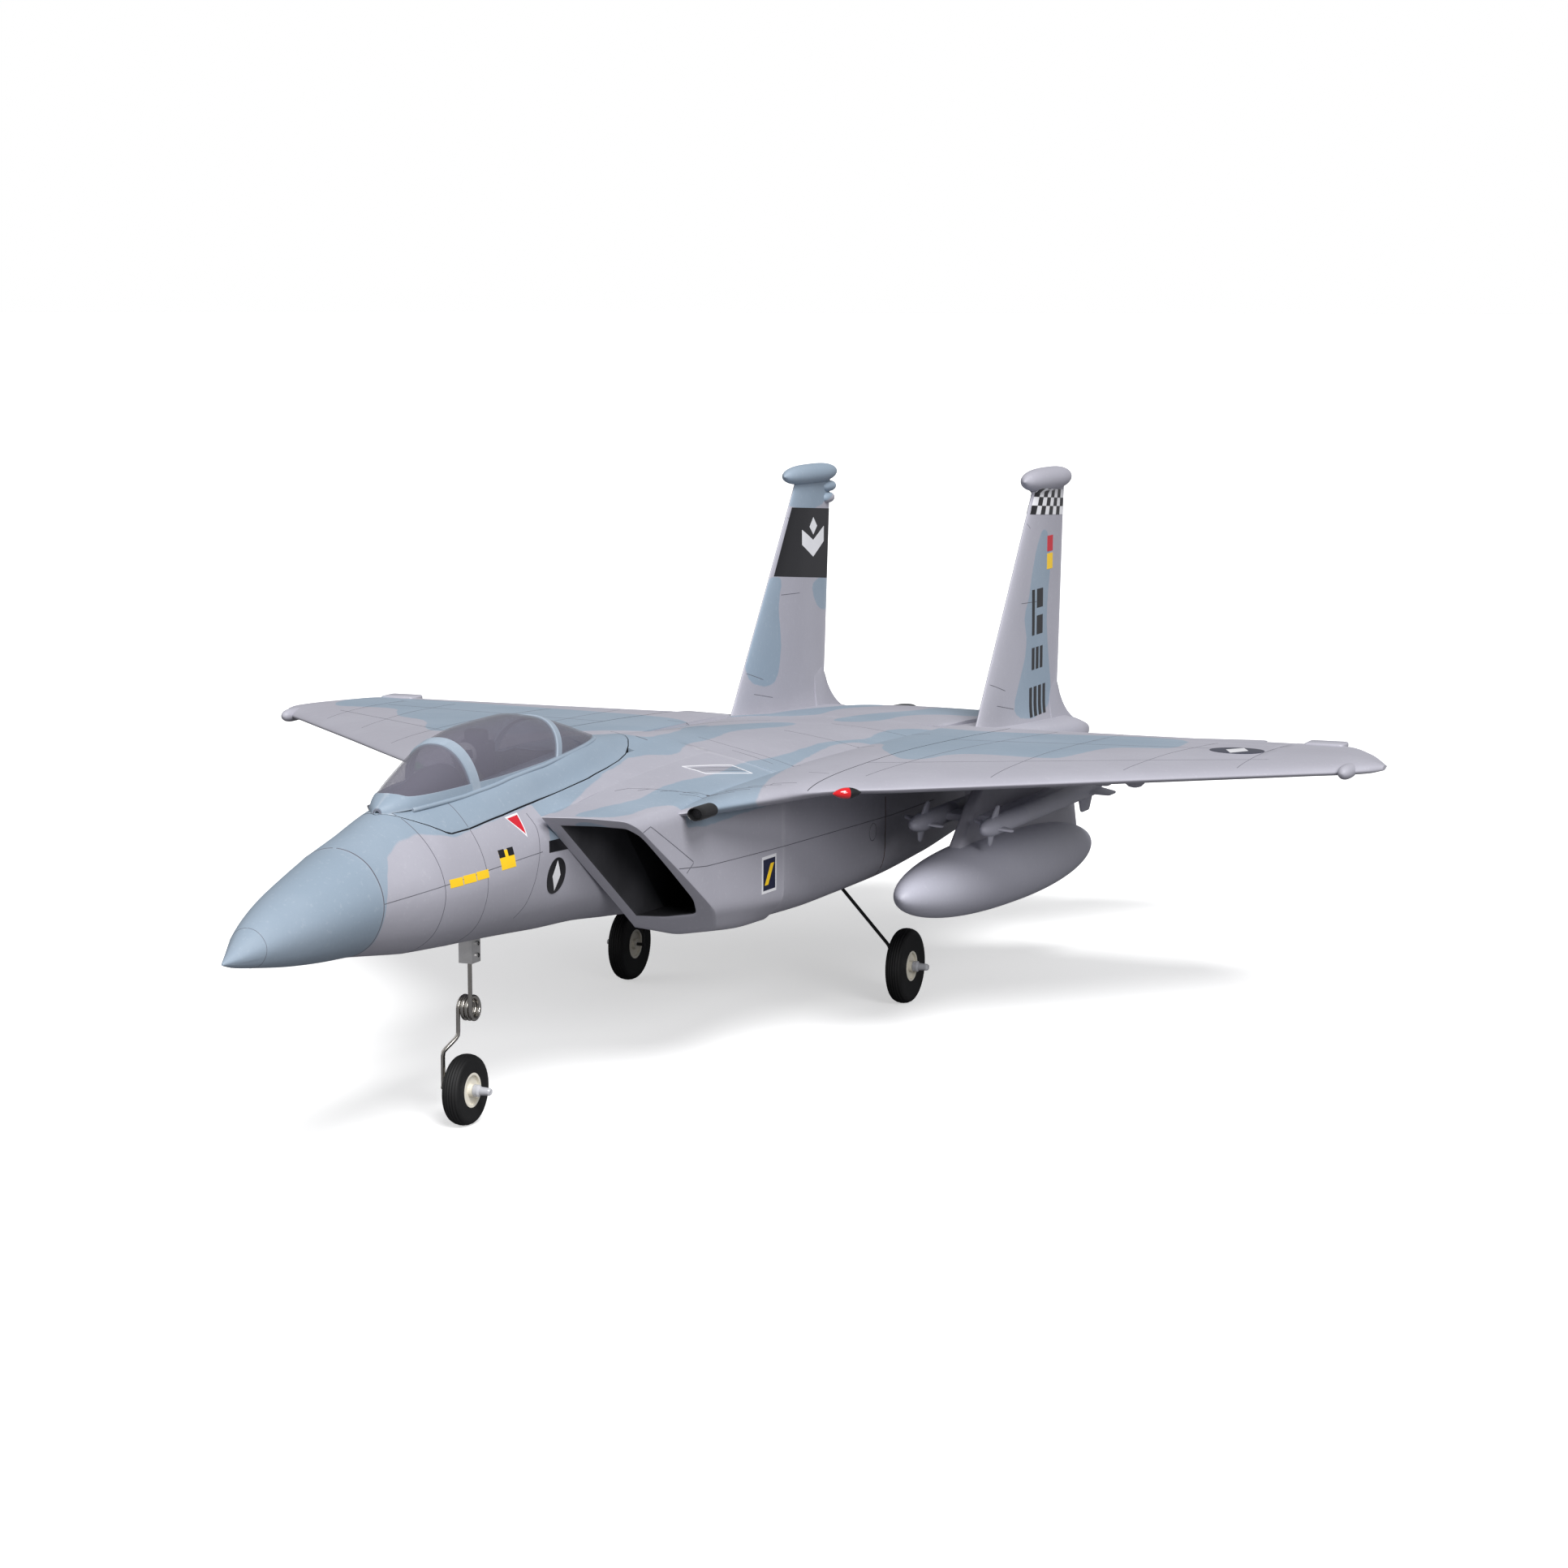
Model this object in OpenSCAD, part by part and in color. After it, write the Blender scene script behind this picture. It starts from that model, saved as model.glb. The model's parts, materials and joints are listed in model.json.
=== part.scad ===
// Foam ducted-fan model jet with twin fins and twin side intakes.
// Millimetres. +Z up, nose towards -Y, left wing towards +X.
// The origin is under the middle of the bounding box, on the ground.
// Shapes are drawn with Y counted from the nose tip and Z from its height,
// and place() moves them to the ground origin.

/* [Overall] */
// Length from nose tip to the stabilator trailing corner
body_len = 920; // [910:1:930]
// Height of the nose tip above the ground
nose_height = 120.3; // [120.3:0.1:121]
// Half of the wingspan
half_span = 357.5; // [350:0.5:359]

/* [Landing gear] */
// Main wheel diameter
main_wheel_d = 44; // [40:1:46]
// Nose wheel diameter
nose_wheel_d = 36; // [32:1:38]
// Tyre width
tyre_w = 9.4; // [8:0.1:9.6]
// Hub diameter
hub_d = 17.5; // [14:0.5:19]
// Nose leg wire diameter
nose_wire_d = 2.2; // [2:0.1:2.4]
// Main leg wire diameter
main_wire_d = 2; // [1.6:0.1:2.2]
// Half of the main wheel track
half_track = 89.5; // [88:0.5:91]

/* [Flight controls] */
// Arm length of the aileron and steering linkages
arm_len = 12; // [11:0.5:12.5]
// Arm length of the stabilator linkages
stab_arm_len = 12; // [11:0.5:12.5]
// Pushrod wire diameter
rod_d = 1.6; // [1.2:0.1:1.8]

/* [Fan and stores] */
// Inner diameter of the fan housing
fan_d = 64.4; // [62:0.2:65]
// Number of fan blades
fan_blades = 11; // [8:1:12]
// Drop tank diameter
tank_d = 43; // [40:1:44]
// Drop tank length
tank_len = 306; // [296:1:310]
// Missile body diameter
missile_d = 9; // [8:0.5:10]
// Spar tube diameter
spar_d = 6; // [5:0.5:6.5]

/* [Hidden] */

grey = "#aaa6ac";
blue = "#9fb1bd";
dark = "#3a3b40";

// main wheel axle and nose wheel axle
main_y = 586;
main_z = main_wheel_d / 2 - nose_height;
nose_axle_y = 218;
nose_axle_z = nose_wheel_d / 2 - nose_height;
steer_y = 224.4;
servo_steer_y = 300;
// hinge lines
ail_y = 672;
ail_z = 28.4;
ail_servo_y = 598;
ail_x = 222;
stab_y = 842;
stab_z = 0;
stab_servo_y = 716;
// fan
fan_z = -3;
noz_x = 31;
noz_z = -8;

module place() { translate([0, -body_len / 2, nose_height]) children(); }
module both() { children(); mirror([1, 0, 0]) children(); }

// ---- lofts -------------------------------------------------------------
// rings run clockwise seen from the start of the loft
module skin(rings) {
    n = len(rings[0]);
    m = len(rings);
    polyhedron(
        points = [for (r = rings) for (p = r) p],
        faces = concat(
            [[for (i = [0 : n - 1]) i]],
            [[for (i = [0 : n - 1]) m * n - 1 - i]],
            [for (k = [0 : m - 2]) for (i = [0 : n - 1])
                [k * n + i, (k + 1) * n + i, (k + 1) * n + (i + 1) % n]],
            [for (k = [0 : m - 2]) for (i = [0 : n - 1])
                [k * n + i, (k + 1) * n + (i + 1) % n, k * n + (i + 1) % n]]),
        convexity = 6);
}
// mirror a half outline that starts and ends on x = 0
function whole(y, h) = concat(
    [for (p = h) [p[0], y, p[1]]],
    [for (i = [len(h) - 2 : -1 : 1]) [-h[i][0], y, h[i][1]]]);
// mirror a half outline whose last point is off the centre line
function upper(y, h) = concat(
    [for (p = h) [p[0], y, p[1]]],
    [for (i = [len(h) - 1 : -1 : 1]) [-h[i][0], y, h[i][1]]]);
// the same with one more point on the centre line of its underside
function crowned(y, h, z) = concat(
    [for (p = h) [p[0], y, p[1]]], [[0, y, z]],
    [for (i = [len(h) - 1 : -1 : 1]) [-h[i][0], y, h[i][1]]]);
// the same for a half outline whose first point is off the centre line
function lower(y, h) = concat(
    [for (p = h) [p[0], y, p[1]]],
    [for (i = [len(h) - 2 : -1 : 0]) [-h[i][0], y, h[i][1]]]);
function side(y, h) = [for (p = h) [p[0], y, p[1]]];

// wing section stations: [x, leading y, trailing y, leading z, trailing z, t]
foil = [[1, 0.14], [0.72, 0.66], [0.4, 1], [0.18, 0.88], [0.06, 0.6],
    [0.012, 0.26], [0, 0], [0.012, -0.26], [0.06, -0.55], [0.18, -0.8],
    [0.4, -0.9], [0.72, -0.56], [1, -0.14]];
module foil_loft(st) {
    skin([for (s = st) [for (f = foil)
        [s[0], s[1] + (s[2] - s[1]) * f[0],
            s[3] + (s[4] - s[3]) * f[0] + s[5] / 2 * f[1]]]]);
}

// ---- fuselage ------------------------------------------------------------
nose_st = [
    [0, [[0, 0.8], [0.6, 0.5], [0.8, 0.2], [0.8, 0], [0.7, -0.3], [0.4, -0.6], [0.2, -0.7], [0, -0.8]]],
    [8, [[0, 7.2], [2.8, 6.6], [4.8, 4.6], [5.3, 2.6], [4.9, 0.4], [3.4, -1.8], [1.8, -2.6], [0, -3]]],
    [25, [[0, 15.6], [5, 14.6], [9, 11.5], [11.4, 7], [11.3, 2.4], [8.4, -3], [4.4, -5.3], [0, -6]]],
    [50, [[0, 24.6], [7.4, 23.1], [13.6, 18.8], [17.8, 11.8], [17.9, 4.8], [13.6, -4.4], [7, -8.6], [0, -9.8]]],
    [75, [[0, 32], [9, 30.1], [16.4, 25], [22, 16], [22.4, 6.4], [17, -5], [8.8, -10.8], [0, -12.4]]],
    [97, [[0, 37.7], [10, 35.7], [18.5, 30], [24.8, 19], [25.4, 8], [19.5, -5], [10, -12], [0, -13.9]]]];
module nose_cone() { color(blue) place() skin([for (s = nose_st) whole(s[0], s[1])]); }

// outline above the hatch seat, down to the hatch line
hatch_st = [
    [150, [[0, 50.6], [11, 48.2], [26, 36.5]]],
    [175, [[0, 52], [15, 50], [28, 37.5]]],
    [205, [[0, 53.5], [18.5, 52.5], [29.5, 39.5]]],
    [236, [[0, 55.5], [21, 54.8], [30, 41.5]]],
    [300, [[0, 59], [19.5, 58.2], [29, 45.5]]],
    [345, [[0, 59.8], [12, 58.6], [24, 49]]],
    [388, [[0, 56.8], [6, 56], [10, 51.5]]]];

module bay() {
    // battery bay and servo trench
    translate([-20, 200, -17]) cube([40, 172, 90]);
    for (x = [-3.4, 3.4]) translate([x, 379.4, 46.9]) cylinder(r = 3.05, h = 30);
    translate([-6.6, 288, -24.3]) cube([13.2, 26, 10]);
    translate([-11.1, 211.9, -30]) cube([22.2, 24.2, 40]);
}
module forward_fuselage() {
    color(blue) place() difference() {
        union() {
            skin([for (s = [
                [97, [[0, 37.7], [10, 35.7], [18.5, 30], [24.8, 19], [25.4, 8], [19.5, -5], [10, -12], [0, -13.9]]],
                [120, [[0, 43.8], [9.5, 41.6], [20, 34], [29, 21], [30.3, 9], [24, -6.5], [12.5, -15], [0, -17]]],
                [140, [[0, 49.5], [9, 47.5], [23, 36.5], [32, 22.5], [34.2, 9], [27.5, -8], [14.5, -17.5], [0, -19.6]]],
                [149.8, [[0, 50.4], [10.8, 48.2], [26, 36.5], [33.2, 23], [35.6, 9], [28.8, -8.8], [15.2, -18.3], [0, -20.4]]]])
                whole(s[0], s[1])]);
            skin([for (s = [
                [149.8, [[0, 37.1], [13, 36.9], [26, 36.5], [33.2, 23], [35.6, 9], [28.8, -8.8], [15.2, -18.3], [0, -20.4]]],
                [175, [[0, 38.1], [14, 37.9], [28, 37.5], [35.5, 24], [38, 9], [31, -10], [16.5, -20], [0, -22]]],
                [205, [[0, 40.1], [15, 39.9], [29.5, 39.5], [37, 25], [39, 9], [32.5, -11], [17.5, -21.8], [0, -24]]],
                [236, [[0, 42.1], [15, 41.9], [30, 41.5], [37.8, 28], [39.5, 9], [33.5, -12], [18.5, -24], [0, -26]]]])
                whole(s[0], s[1])]);
        }
        bay();
    }
}

upper_st = [
    [236, [[0, 42.1], [15, 41.9], [30, 41.5], [34.5, 35], [38, 28], [39.5, 0]]],
    [300, [[0, 46.1], [15, 45.9], [29, 45.5], [35, 43.6], [40, 39.5], [40, 0]]],
    [345, [[0, 49.6], [12, 49.4], [24, 49], [33, 46.7], [40, 44.5], [40, 0]]],
    [388.2, [[0, 52.1], [5, 51.9], [10, 51.5], [26, 48.5], [40, 45], [40, 0]]],
    [388.4, [[0, 56.5], [7, 55.5], [13, 53.5], [26, 49], [40, 45], [40, 0]]],
    [420, [[0, 54], [10, 53], [20, 50.5], [30, 48], [40, 45.2], [40, 0]]],
    [420.4, [[0, 54], [18, 51], [45, 45], [70, 39.8], [85, 34], [85.5, 0]]],
    [480, [[0, 48.5], [18, 47], [45, 42.5], [72, 37], [85.5, 32], [85.5, 0]]],
    [570, [[0, 40.5], [18, 39.7], [45, 36.8], [72, 32.5], [85.5, 28.5], [85.5, 0]]],
    [640, [[0, 35], [18, 34.6], [45, 32.8], [72, 29.5], [86, 26], [86, 0]]],
    [700, [[0, 30.5], [18, 30.3], [45, 29.3], [72, 27.5], [86, 25], [86, 0]]],
    [700.4, [[0, 30.5], [15, 30.3], [30, 29.8], [45, 29.2], [61.8, 27.5], [61.8, 0]]],
    [760, [[0, 27.2], [15, 27.1], [30, 26.9], [45, 26.4], [61.8, 24.6], [61.8, 0]]],
    [845, [[0, 21.2], [15, 21.1], [30, 20.9], [45, 20.4], [60, 18.8], [60, 0]]]];
lower_st = [
    [236, [[39.5, 0], [33.5, -12], [26, -19.5], [15, -25], [0, -26]]],
    [300, [[40, 0], [37, -14], [28, -24], [15, -29], [0, -30]]],
    [345, [[40, 0], [39.5, -18], [30, -30], [16, -33.5], [0, -34.5]]],
    [420, [[40, 0], [40, -22], [37, -41], [20, -40], [0, -37.5]]],
    [420.4, [[85.5, 0], [84, -33], [73, -45.5], [32, -44.5], [0, -37.5]]],
    [480, [[85.5, 0], [84, -36], [74, -47.5], [32, -46.5], [0, -41.5]]],
    [570, [[85.5, 0], [84, -36], [74, -47.5], [32, -46.5], [0, -42]]],
    [640, [[86, 0], [84, -33], [74, -44.5], [32, -44], [0, -41.5]]],
    [700, [[86, 0], [84, -27], [72, -39], [32, -40], [0, -39]]],
    [700.4, [[61.8, 0], [61.8, -27], [56, -38.5], [32, -40], [0, -39]]],
    [845, [[60, 0], [59, -17], [50, -30], [31, -34.5], [0, -31]]]];

// exhaust branch from the fan to one nozzle
module branch(grow) {
    hull() {
        translate([0, 576, fan_z]) rotate([-90, 0, 0]) cylinder(r = fan_d / 2 + 1 + grow, h = 1, $fn = 32);
        translate([noz_x, 843, noz_z]) rotate([-90, 0, 0]) cylinder(r = 25 + grow, h = 2.4, $fn = 32);
    }
}
// everything that is hollow inside the middle fuselage
module cavities() {
    bay();
    // inlet plenum between the two ducts and the fan
    translate([-76, 419, -30]) cube([152, 52, 56]);
    translate([-34, 470, -30]) cube([68, 51, 58]);
    hull() {
        translate([-76, 469, -30]) cube([152, 1, 56]);
        translate([-34, 519, -30]) cube([68, 1, 56]);
    }
    translate([0, 519.5, fan_z]) rotate([-90, 0, 0]) cylinder(r = fan_d / 2 + 2.2, h = 58);
    branch(0.3);
    mirror([1, 0, 0]) branch(0.3);
    // spar tunnel and gear mount pockets
    translate([-120, 500, 28.6]) rotate([0, 90, 0]) cylinder(d = spar_d + 0.1, h = 240);
    both() translate([37.8, 575.8, -60]) cube([26.4, 20.4, 24.2]);
}

// the fuselage stub that the wing panel plugs onto
module glove() {
    foil_loft([[84, 316, 698, 31, 28.2, 15], [97, 334, 698, 31, 28.2, 14.6], [112, 385, 698, 31, 28.2, 14]]);
}
module upper_fuselage() {
    color(grey) place() difference() {
        union() {
            skin([for (s = upper_st) upper(s[0], s[1])]);
            both() intersection() {
                glove();
                translate([83, 300, -40]) cube([40, 420, 100]);
            }
        }
        cavities();
        // seats of the wing root inserts
        both() translate([89, 298, 30.5]) rotate([-90, 0, 0]) cylinder(r = 4.45, h = 22.1);
    }
}
module lower_fuselage() {
    color(grey) place() difference() {
        skin([for (s = lower_st) lower(s[0], s[1])]);
        cavities();
    }
}

// side intake trunk with a raked mouth: inner top first, then outwards
intake_st = [
    [226, [[41.2, 36.4], [58, 35], [73, 32.4], [76, 28], [76, -20], [70, -28], [56, -30], [41.2, -30]]],
    [260, [[41.2, 38.8], [58, 36.4], [74, 32.6], [77, 28], [77, -22], [71, -31], [56, -33], [41.2, -32]]],
    [300, [[41.2, 41.6], [58, 38.4], [76, 33.4], [80, 28], [80, -24], [74, -34], [56, -36.5], [41.2, -34]]],
    [345, [[40.4, 44], [58, 40.8], [78, 35], [82, 29], [82, -26], [75, -38], [56, -41], [40.6, -37]]],
    [385, [[40.4, 44.6], [58, 41.6], [79, 36], [83.6, 30], [83.4, -29], [75, -43], [56, -45], [41.4, -42]]],
    [419.8, [[40.4, 45], [58, 42], [80, 37], [83.8, 31], [83.6, -32], [74, -45], [56, -46], [42, -44]]]];
// the plane of the raked mouth, swept in plan as well
function lip_y(x, z) = 253.6 + 0.615 * (x - 75) - 1.418 * (z - 32);
module intake() {
    difference() {
        skin([for (s = intake_st) side(s[0], s[1])]);
        // duct
        skin([for (s = [
            [200, [[46, 30], [60, 29], [71.5, 27], [71.8, 20], [71.8, -16], [69.5, -23], [58, -24.5], [46, -24]]],
            [300, [[46, 33], [60, 31], [75, 28], [76, 22], [76, -18], [73, -26], [58, -28], [46, -27]]],
            [425, [[46, 26], [60, 26], [75.8, 25.8], [76, 22], [76, -18], [75.8, -29.8], [58, -30], [46, -30]]]]) side(s[0], s[1])]);
        // raked mouth: cut away what is ahead of the lip plane
        skin([for (x = [30, 95]) [[x, lip_y(x, 60), 60], [x, 150, 60], [x, 150, -70], [x, lip_y(x, -70), -70]]]);
    }
}
module left_intake() { color(grey) place() intake(); }
module right_intake() { color(grey) place() mirror([1, 0, 0]) intake(); }

boom_st = [
    [700.6, [[62.2, 26.8], [85.5, 26.8], [87.5, 22], [88.5, 16], [88.5, -12], [82, -26], [72, -31], [62.2, -33]]],
    [760, [[62.2, 23.08], [86.5, 23.08], [92, 19.5], [94, 14], [94, -10], [86, -21], [74, -25], [62.2, -27]]],
    [845, [[62.2, 17.77], [87, 17.77], [95, 14.5], [98, 9], [98, -8], [90, -14], [76, -16], [62.2, -15]]],
    [880, [[66, 15.58], [87, 15.58], [94.5, 12.5], [97, 8], [97, -4], [90, -9], [78, -9.5], [66, -8]]],
    [905, [[78, 9], [86, 9.5], [91, 8], [93, 6], [93, 2], [88, -1.5], [82, -2], [78, -0.5]]]];
module tail_booms() {
    color(grey) place() both() difference() {
        skin([for (s = boom_st) side(s[0], s[1])]);
        // servo pocket, linkage slot and stabilator bearing
        translate([63.6, 703.8, -6.4]) cube([22.6, 24.4, 12.8]);
        translate([85.8, 703.8, -34]) cube([6, 150, 38.5]);
        translate([60, stab_y, stab_z]) rotate([0, 90, 0]) cylinder(r = 2.06, h = 60);
    }
}

// ---- propulsion --------------------------------------------------------
module exhaust_nozzles() {
    color("#4a4b50") place() both() translate([noz_x, 845.6, noz_z]) rotate([-90, 0, 0]) rotate_extrude($fn = 64)
        polygon([[27, 0], [27.6, 14], [25.6, 44], [24.4, 46], [24, 44], [25.2, 14], [24, 0]]);
}
module exhaust_duct() {
    color("#2c2c30") place() difference() {
        union() { branch(0); mirror([1, 0, 0]) branch(0); }
        translate([0, -0.5, 0]) branch(-1);
        mirror([1, 0, 0]) translate([0, -0.5, 0]) branch(-1);
        translate([-40, 570, -45]) cube([80, 6.5, 90]);
        translate([-80, 844.8, -45]) cube([160, 6.5, 90]);
        both() translate([noz_x, 840, noz_z]) rotate([-90, 0, 0]) cylinder(r = 24, h = 10);
        translate([0, 570, fan_z]) rotate([-90, 0, 0]) cylinder(r = fan_d / 2, h = 12);
    }
}
module fan_housing() {
    color("#26272b") place() translate([0, 0, fan_z]) difference() {
        union() {
            difference() {
                translate([0, 521, 0]) rotate([-90, 0, 0]) cylinder(r = fan_d / 2 + 1.8, h = 54);
                translate([0, 520, 0]) rotate([-90, 0, 0]) cylinder(r = fan_d / 2, h = 56);
            }
            translate([0, 548, 0]) rotate([-90, 0, 0]) cylinder(r = 16, h = 26);
            // stator vanes
            for (a = [0 : 60 : 300]) rotate([0, a, 0]) translate([15, 550, -0.8]) cube([fan_d / 2 - 14, 22, 1.6]);
        }
        translate([0, 550, 0]) rotate([-90, 0, 0]) cylinder(r = 14.3, h = 30);
        translate([0, 540, 0]) rotate([-90, 0, 0]) cylinder(r = 5, h = 20);
    }
}
module fan_motor() {
    color("#8a8c92") place() translate([0, 0, fan_z]) difference() {
        union() {
            translate([0, 550.2, 0]) rotate([-90, 0, 0]) cylinder(r = 14.3, h = 34);
            translate([0, 584.2, 0]) rotate([-90, 0, 0]) cylinder(r1 = 14.3, r2 = 9, h = 4);
        }
        translate([0, 545, 0]) rotate([-90, 0, 0]) cylinder(r = 1.64, h = 24);
    }
}
module fan_rotor() {
    color("#1d1e22") place() translate([0, 0, fan_z]) union() {
        translate([0, 529, 0]) rotate([-90, 0, 0]) cylinder(r = 13.5, h = 16);
        // spinner
        translate([0, 529, 0]) rotate([-90, 0, 0]) rotate_extrude($fn = 64)
            polygon([[0, -14], [4, -13], [8, -10], [11, -6.4], [12.8, -3], [13.5, 0], [0, 0]]);
        translate([0, 540, 0]) rotate([-90, 0, 0]) cylinder(r = 1.58, h = 26);
        for (a = [0 : 360 / fan_blades : 359]) rotate([0, a, 0]) translate([12.5, 537, 0]) rotate([38, 0, 0])
            translate([0, -7.5, -0.7]) cube([fan_d / 2 - 13.1, 15, 1.4]);
    }
}

// ---- inside equipment ----------------------------------------------------
module battery_tray() {
    color("#c9a26a") place() difference() {
        translate([-19.8, 206, 4.6]) cube([39.6, 150, 2.4]);
        translate([-15, 215, 0]) cube([30, 18, 10]);
        both() translate([16.2, 250, 0]) cube([2.2, 14, 10]);
        both() translate([16.2, 318, 0]) cube([2.2, 14, 10]);
    }
}
module battery_pack() {
    color("#3c4a8c") place() difference() {
        translate([-17, 240, 7.1]) cube([34, 104, 28]);
        both() translate([17, 230, 35.1]) rotate([0, 45, 0]) translate([-2, 0, -2]) cube([4, 130, 4]);
    }
}
module speed_controller() {
    color("#24262b") place() union() {
        translate([-13, 322, -16.8]) cube([26, 46, 8]);
        for (i = [0 : 7]) translate([-11 + i * 3, 330, -8.8]) cube([1.2, 34, 2.4]);
    }
}
module receiver() {
    color("#2b2d33") place() union() {
        translate([-17, 246, -16.8]) cube([24, 38, 11]);
        translate([-15, 280, -14]) cube([20, 6, 6]);
    }
}
module servos() {
    color("#3b6fb0") place() union() {
        // steering servo in the trench
        translate([0, servo_steer_y, -2.2]) difference() {
            union() {
                translate([-6, -6, -22]) cube([12, 19, 22]);
                cylinder(r = 5.6, h = 0.4);
            }
            translate([0, 0, -3]) cylinder(r = 2.06, h = 10);
        }
        // aileron servos flat in the wings, tail servos in the booms
        both() translate([ail_x - 3.4, ail_servo_y, ail_z]) rotate([0, 90, 0]) difference() {
            union() {
                translate([-2.6, -16, -22]) cube([7.6, 22, 22]);
                cylinder(r = 2.5, h = 0.4);
            }
            translate([0, 0, -3]) cylinder(r = 1.06, h = 10);
        }
        both() translate([85.6, stab_servo_y, stab_z]) rotate([0, 90, 0]) difference() {
            union() {
                translate([-6, -12, -21.8]) cube([12, 23.8, 21.8]);
                cylinder(r = 5.4, h = 0.4);
            }
            translate([0, 0, -3]) cylinder(r = 1.06, h = 10);
        }
    }
}

// ---- wings -------------------------------------------------------------
wing_st = [
    [112.3, 385.4, 698, 31, 28.2, 14], [185, 458, 697.5, 29.3, 28.3, 12.2],
    [291, 564, 697, 26.6, 28.6, 9.6], [322, 595, 694, 25.8, 28.6, 8.6],
    [342, 615, 666, 25.3, 27.8, 7.6], [352, 627, 653, 25.2, 26.4, 6],
    [half_span, 637, 646, 25.2, 25.6, 3.4]];
module wing_spar_tube() {
    color("#202124") place() translate([-200, 500, 28.6]) rotate([0, 90, 0]) difference() {
        cylinder(d = spar_d, h = 400);
        translate([0, 0, -1]) cylinder(d = spar_d - 1.4, h = 402);
    }
}
module wing() {
    difference() {
        foil_loft(wing_st);
        // aileron bay, servo pocket, arm slot, spar bore and light seat
        translate([184.8, ail_y - 0.7, 0]) cube([106.4, 60, 60]);
        translate([ail_x - 25.7, ail_servo_y - 16.3, 8]) cube([22.6, 22.6, ail_z - 8 + 2.8]);
        translate([ail_x - 3.3, ail_servo_y - 9, 8]) cube([8.3, 18, ail_z - 8 + 3.4]);
        translate([100, 500, 28.6]) rotate([0, 90, 0]) cylinder(d = spar_d + 0.1, h = 100.2);
        translate([128, 401.8, 30.2]) sphere(r = 3.25);
    }
}
module left_wing() { color(grey) place() wing(); }
module right_wing() { color(grey) place() mirror([1, 0, 0]) wing(); }
module nav_light() { translate([128, 401.8, 30.2]) sphere(r = 3.2); }
module left_nav_light() { color("#d8202a") place() nav_light(); }
module right_nav_light() { color("#1f9d4a") place() mirror([1, 0, 0]) nav_light(); }

// flap section: hinge nose, upper front, trailing edge, lower front
module flap_loft(x0, x1, t0, t1) {
    skin([for (s = [[x0, t0], [x1, t1]])
        [for (f = [[697, 0.75], [674.6, s[1]], [ail_y, 0], [674.6, -s[1]], [697, -0.75]])
            [s[0], f[0], ail_z + f[1]]]]);
}
module aileron() {
    flap_loft(185.4, 290.6, 2.1, 2.2);
    // control horn
    translate([ail_x, ail_y, ail_z]) rotate([90, 0, 90]) difference() {
        linear_extrude(1.6) polygon([[4.4, 0], [12, 0], [12, -1.6], [2.6, -arm_len - 1.6], [1, -arm_len - 2.6],
            [-1, -arm_len - 2.6], [-2.4, -arm_len - 1], [-2.4, -arm_len + 1.6], [1.4, -6]]);
        translate([0, -arm_len, -1]) cylinder(r = 1.15, h = 4);
    }
}
module left_aileron() { color(grey) place() aileron(); }
module right_aileron() { color(grey) place() mirror([1, 0, 0]) aileron(); }

// servo arm in the plane X = 0 to 1.6, pivot at the origin, arm pointing down
module side_arm(len, hub, spline) {
    difference() {
        union() {
            hull() {
                rotate([0, 90, 0]) cylinder(r = 3, h = 1.6, $fn = 32);
                translate([0, 0, -len]) rotate([0, 90, 0]) cylinder(r = 1.9, h = 1.6, $fn = 32);
            }
            translate([-hub, 0, 0]) rotate([0, 90, 0]) cylinder(r = 3, h = hub + 1.6);
            translate([-hub - spline, 0, 0]) rotate([0, 90, 0]) cylinder(r = 1, h = spline + 1);
        }
        translate([-1, 0, -len]) rotate([0, 90, 0]) cylinder(r = rod_d / 2 - 0.14, h = 4);
    }
}
// pushrod along +Y with a pin at each end that points towards -X
module side_rod(len, off) {
    translate([off, -0.8, 0]) rotate([-90, 0, 0]) cylinder(d = rod_d, h = len + 1.6);
    for (s = [0, len]) translate([-0.3, s, 0]) rotate([0, 90, 0]) cylinder(r = rod_d / 2 - 0.2, h = off + 0.3);
}
module aileron_arm() { translate([ail_x, ail_servo_y, ail_z]) side_arm(arm_len, 2.9, 2.6); }
module aileron_rod() { translate([ail_x, ail_servo_y, ail_z - arm_len]) side_rod(ail_y - ail_servo_y, 2.9); }
module left_aileron_arm() { color("white") place() aileron_arm(); }
module right_aileron_arm() { color("white") place() mirror([1, 0, 0]) aileron_arm(); }
module left_aileron_rod() { color("silver") place() aileron_rod(); }
module right_aileron_rod() { color("silver") place() mirror([1, 0, 0]) aileron_rod(); }

// ---- tail --------------------------------------------------------------
// stations along the height: [z, leading y, trailing y, 0, 0, thickness]
fin_st = [[8, 706.6, 890, 0, 0, 9], [16, 712.4, 883, 0, 0, 8.6], [30, 722.5, 867.5, 0, 0, 8],
    [150, 809, 877, 0, 0, 5.6], [168, 822, 879, 0, 0, 5.2]];
module capsule(r, len) {
    rotate([-90, 0, 0]) rotate_extrude($fn = 48) polygon(concat([[0, 0]],
        [for (i = [1 : 11]) let (s = i / 12) [r * pow(1 - pow(abs(2 * s - 1), 3), 0.5), len * s]], [[0, len]]));
}
module fin(pod_r) {
    translate([82.4, 0, 0]) {
        difference() {
            rotate([0, -90, 0]) foil_loft(fin_st);
            translate([-30, 700.6, 26.86]) rotate([-3.576, 0, 0]) translate([0, -100, -60]) cube([60, 400, 60]);
        }
        translate([0, 803.6, 171.6]) capsule(pod_r, 84);
    }
}
module left_fin() { color(grey) place() fin(7.6); }
module right_fin() {
    color(grey) place() mirror([1, 0, 0]) union() {
        fin(6.4);
        translate([82.4, 866, 162]) capsule(3.6, 20);
        translate([82.4, 866, 154.4]) capsule(3.6, 17);
    }
}
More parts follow.
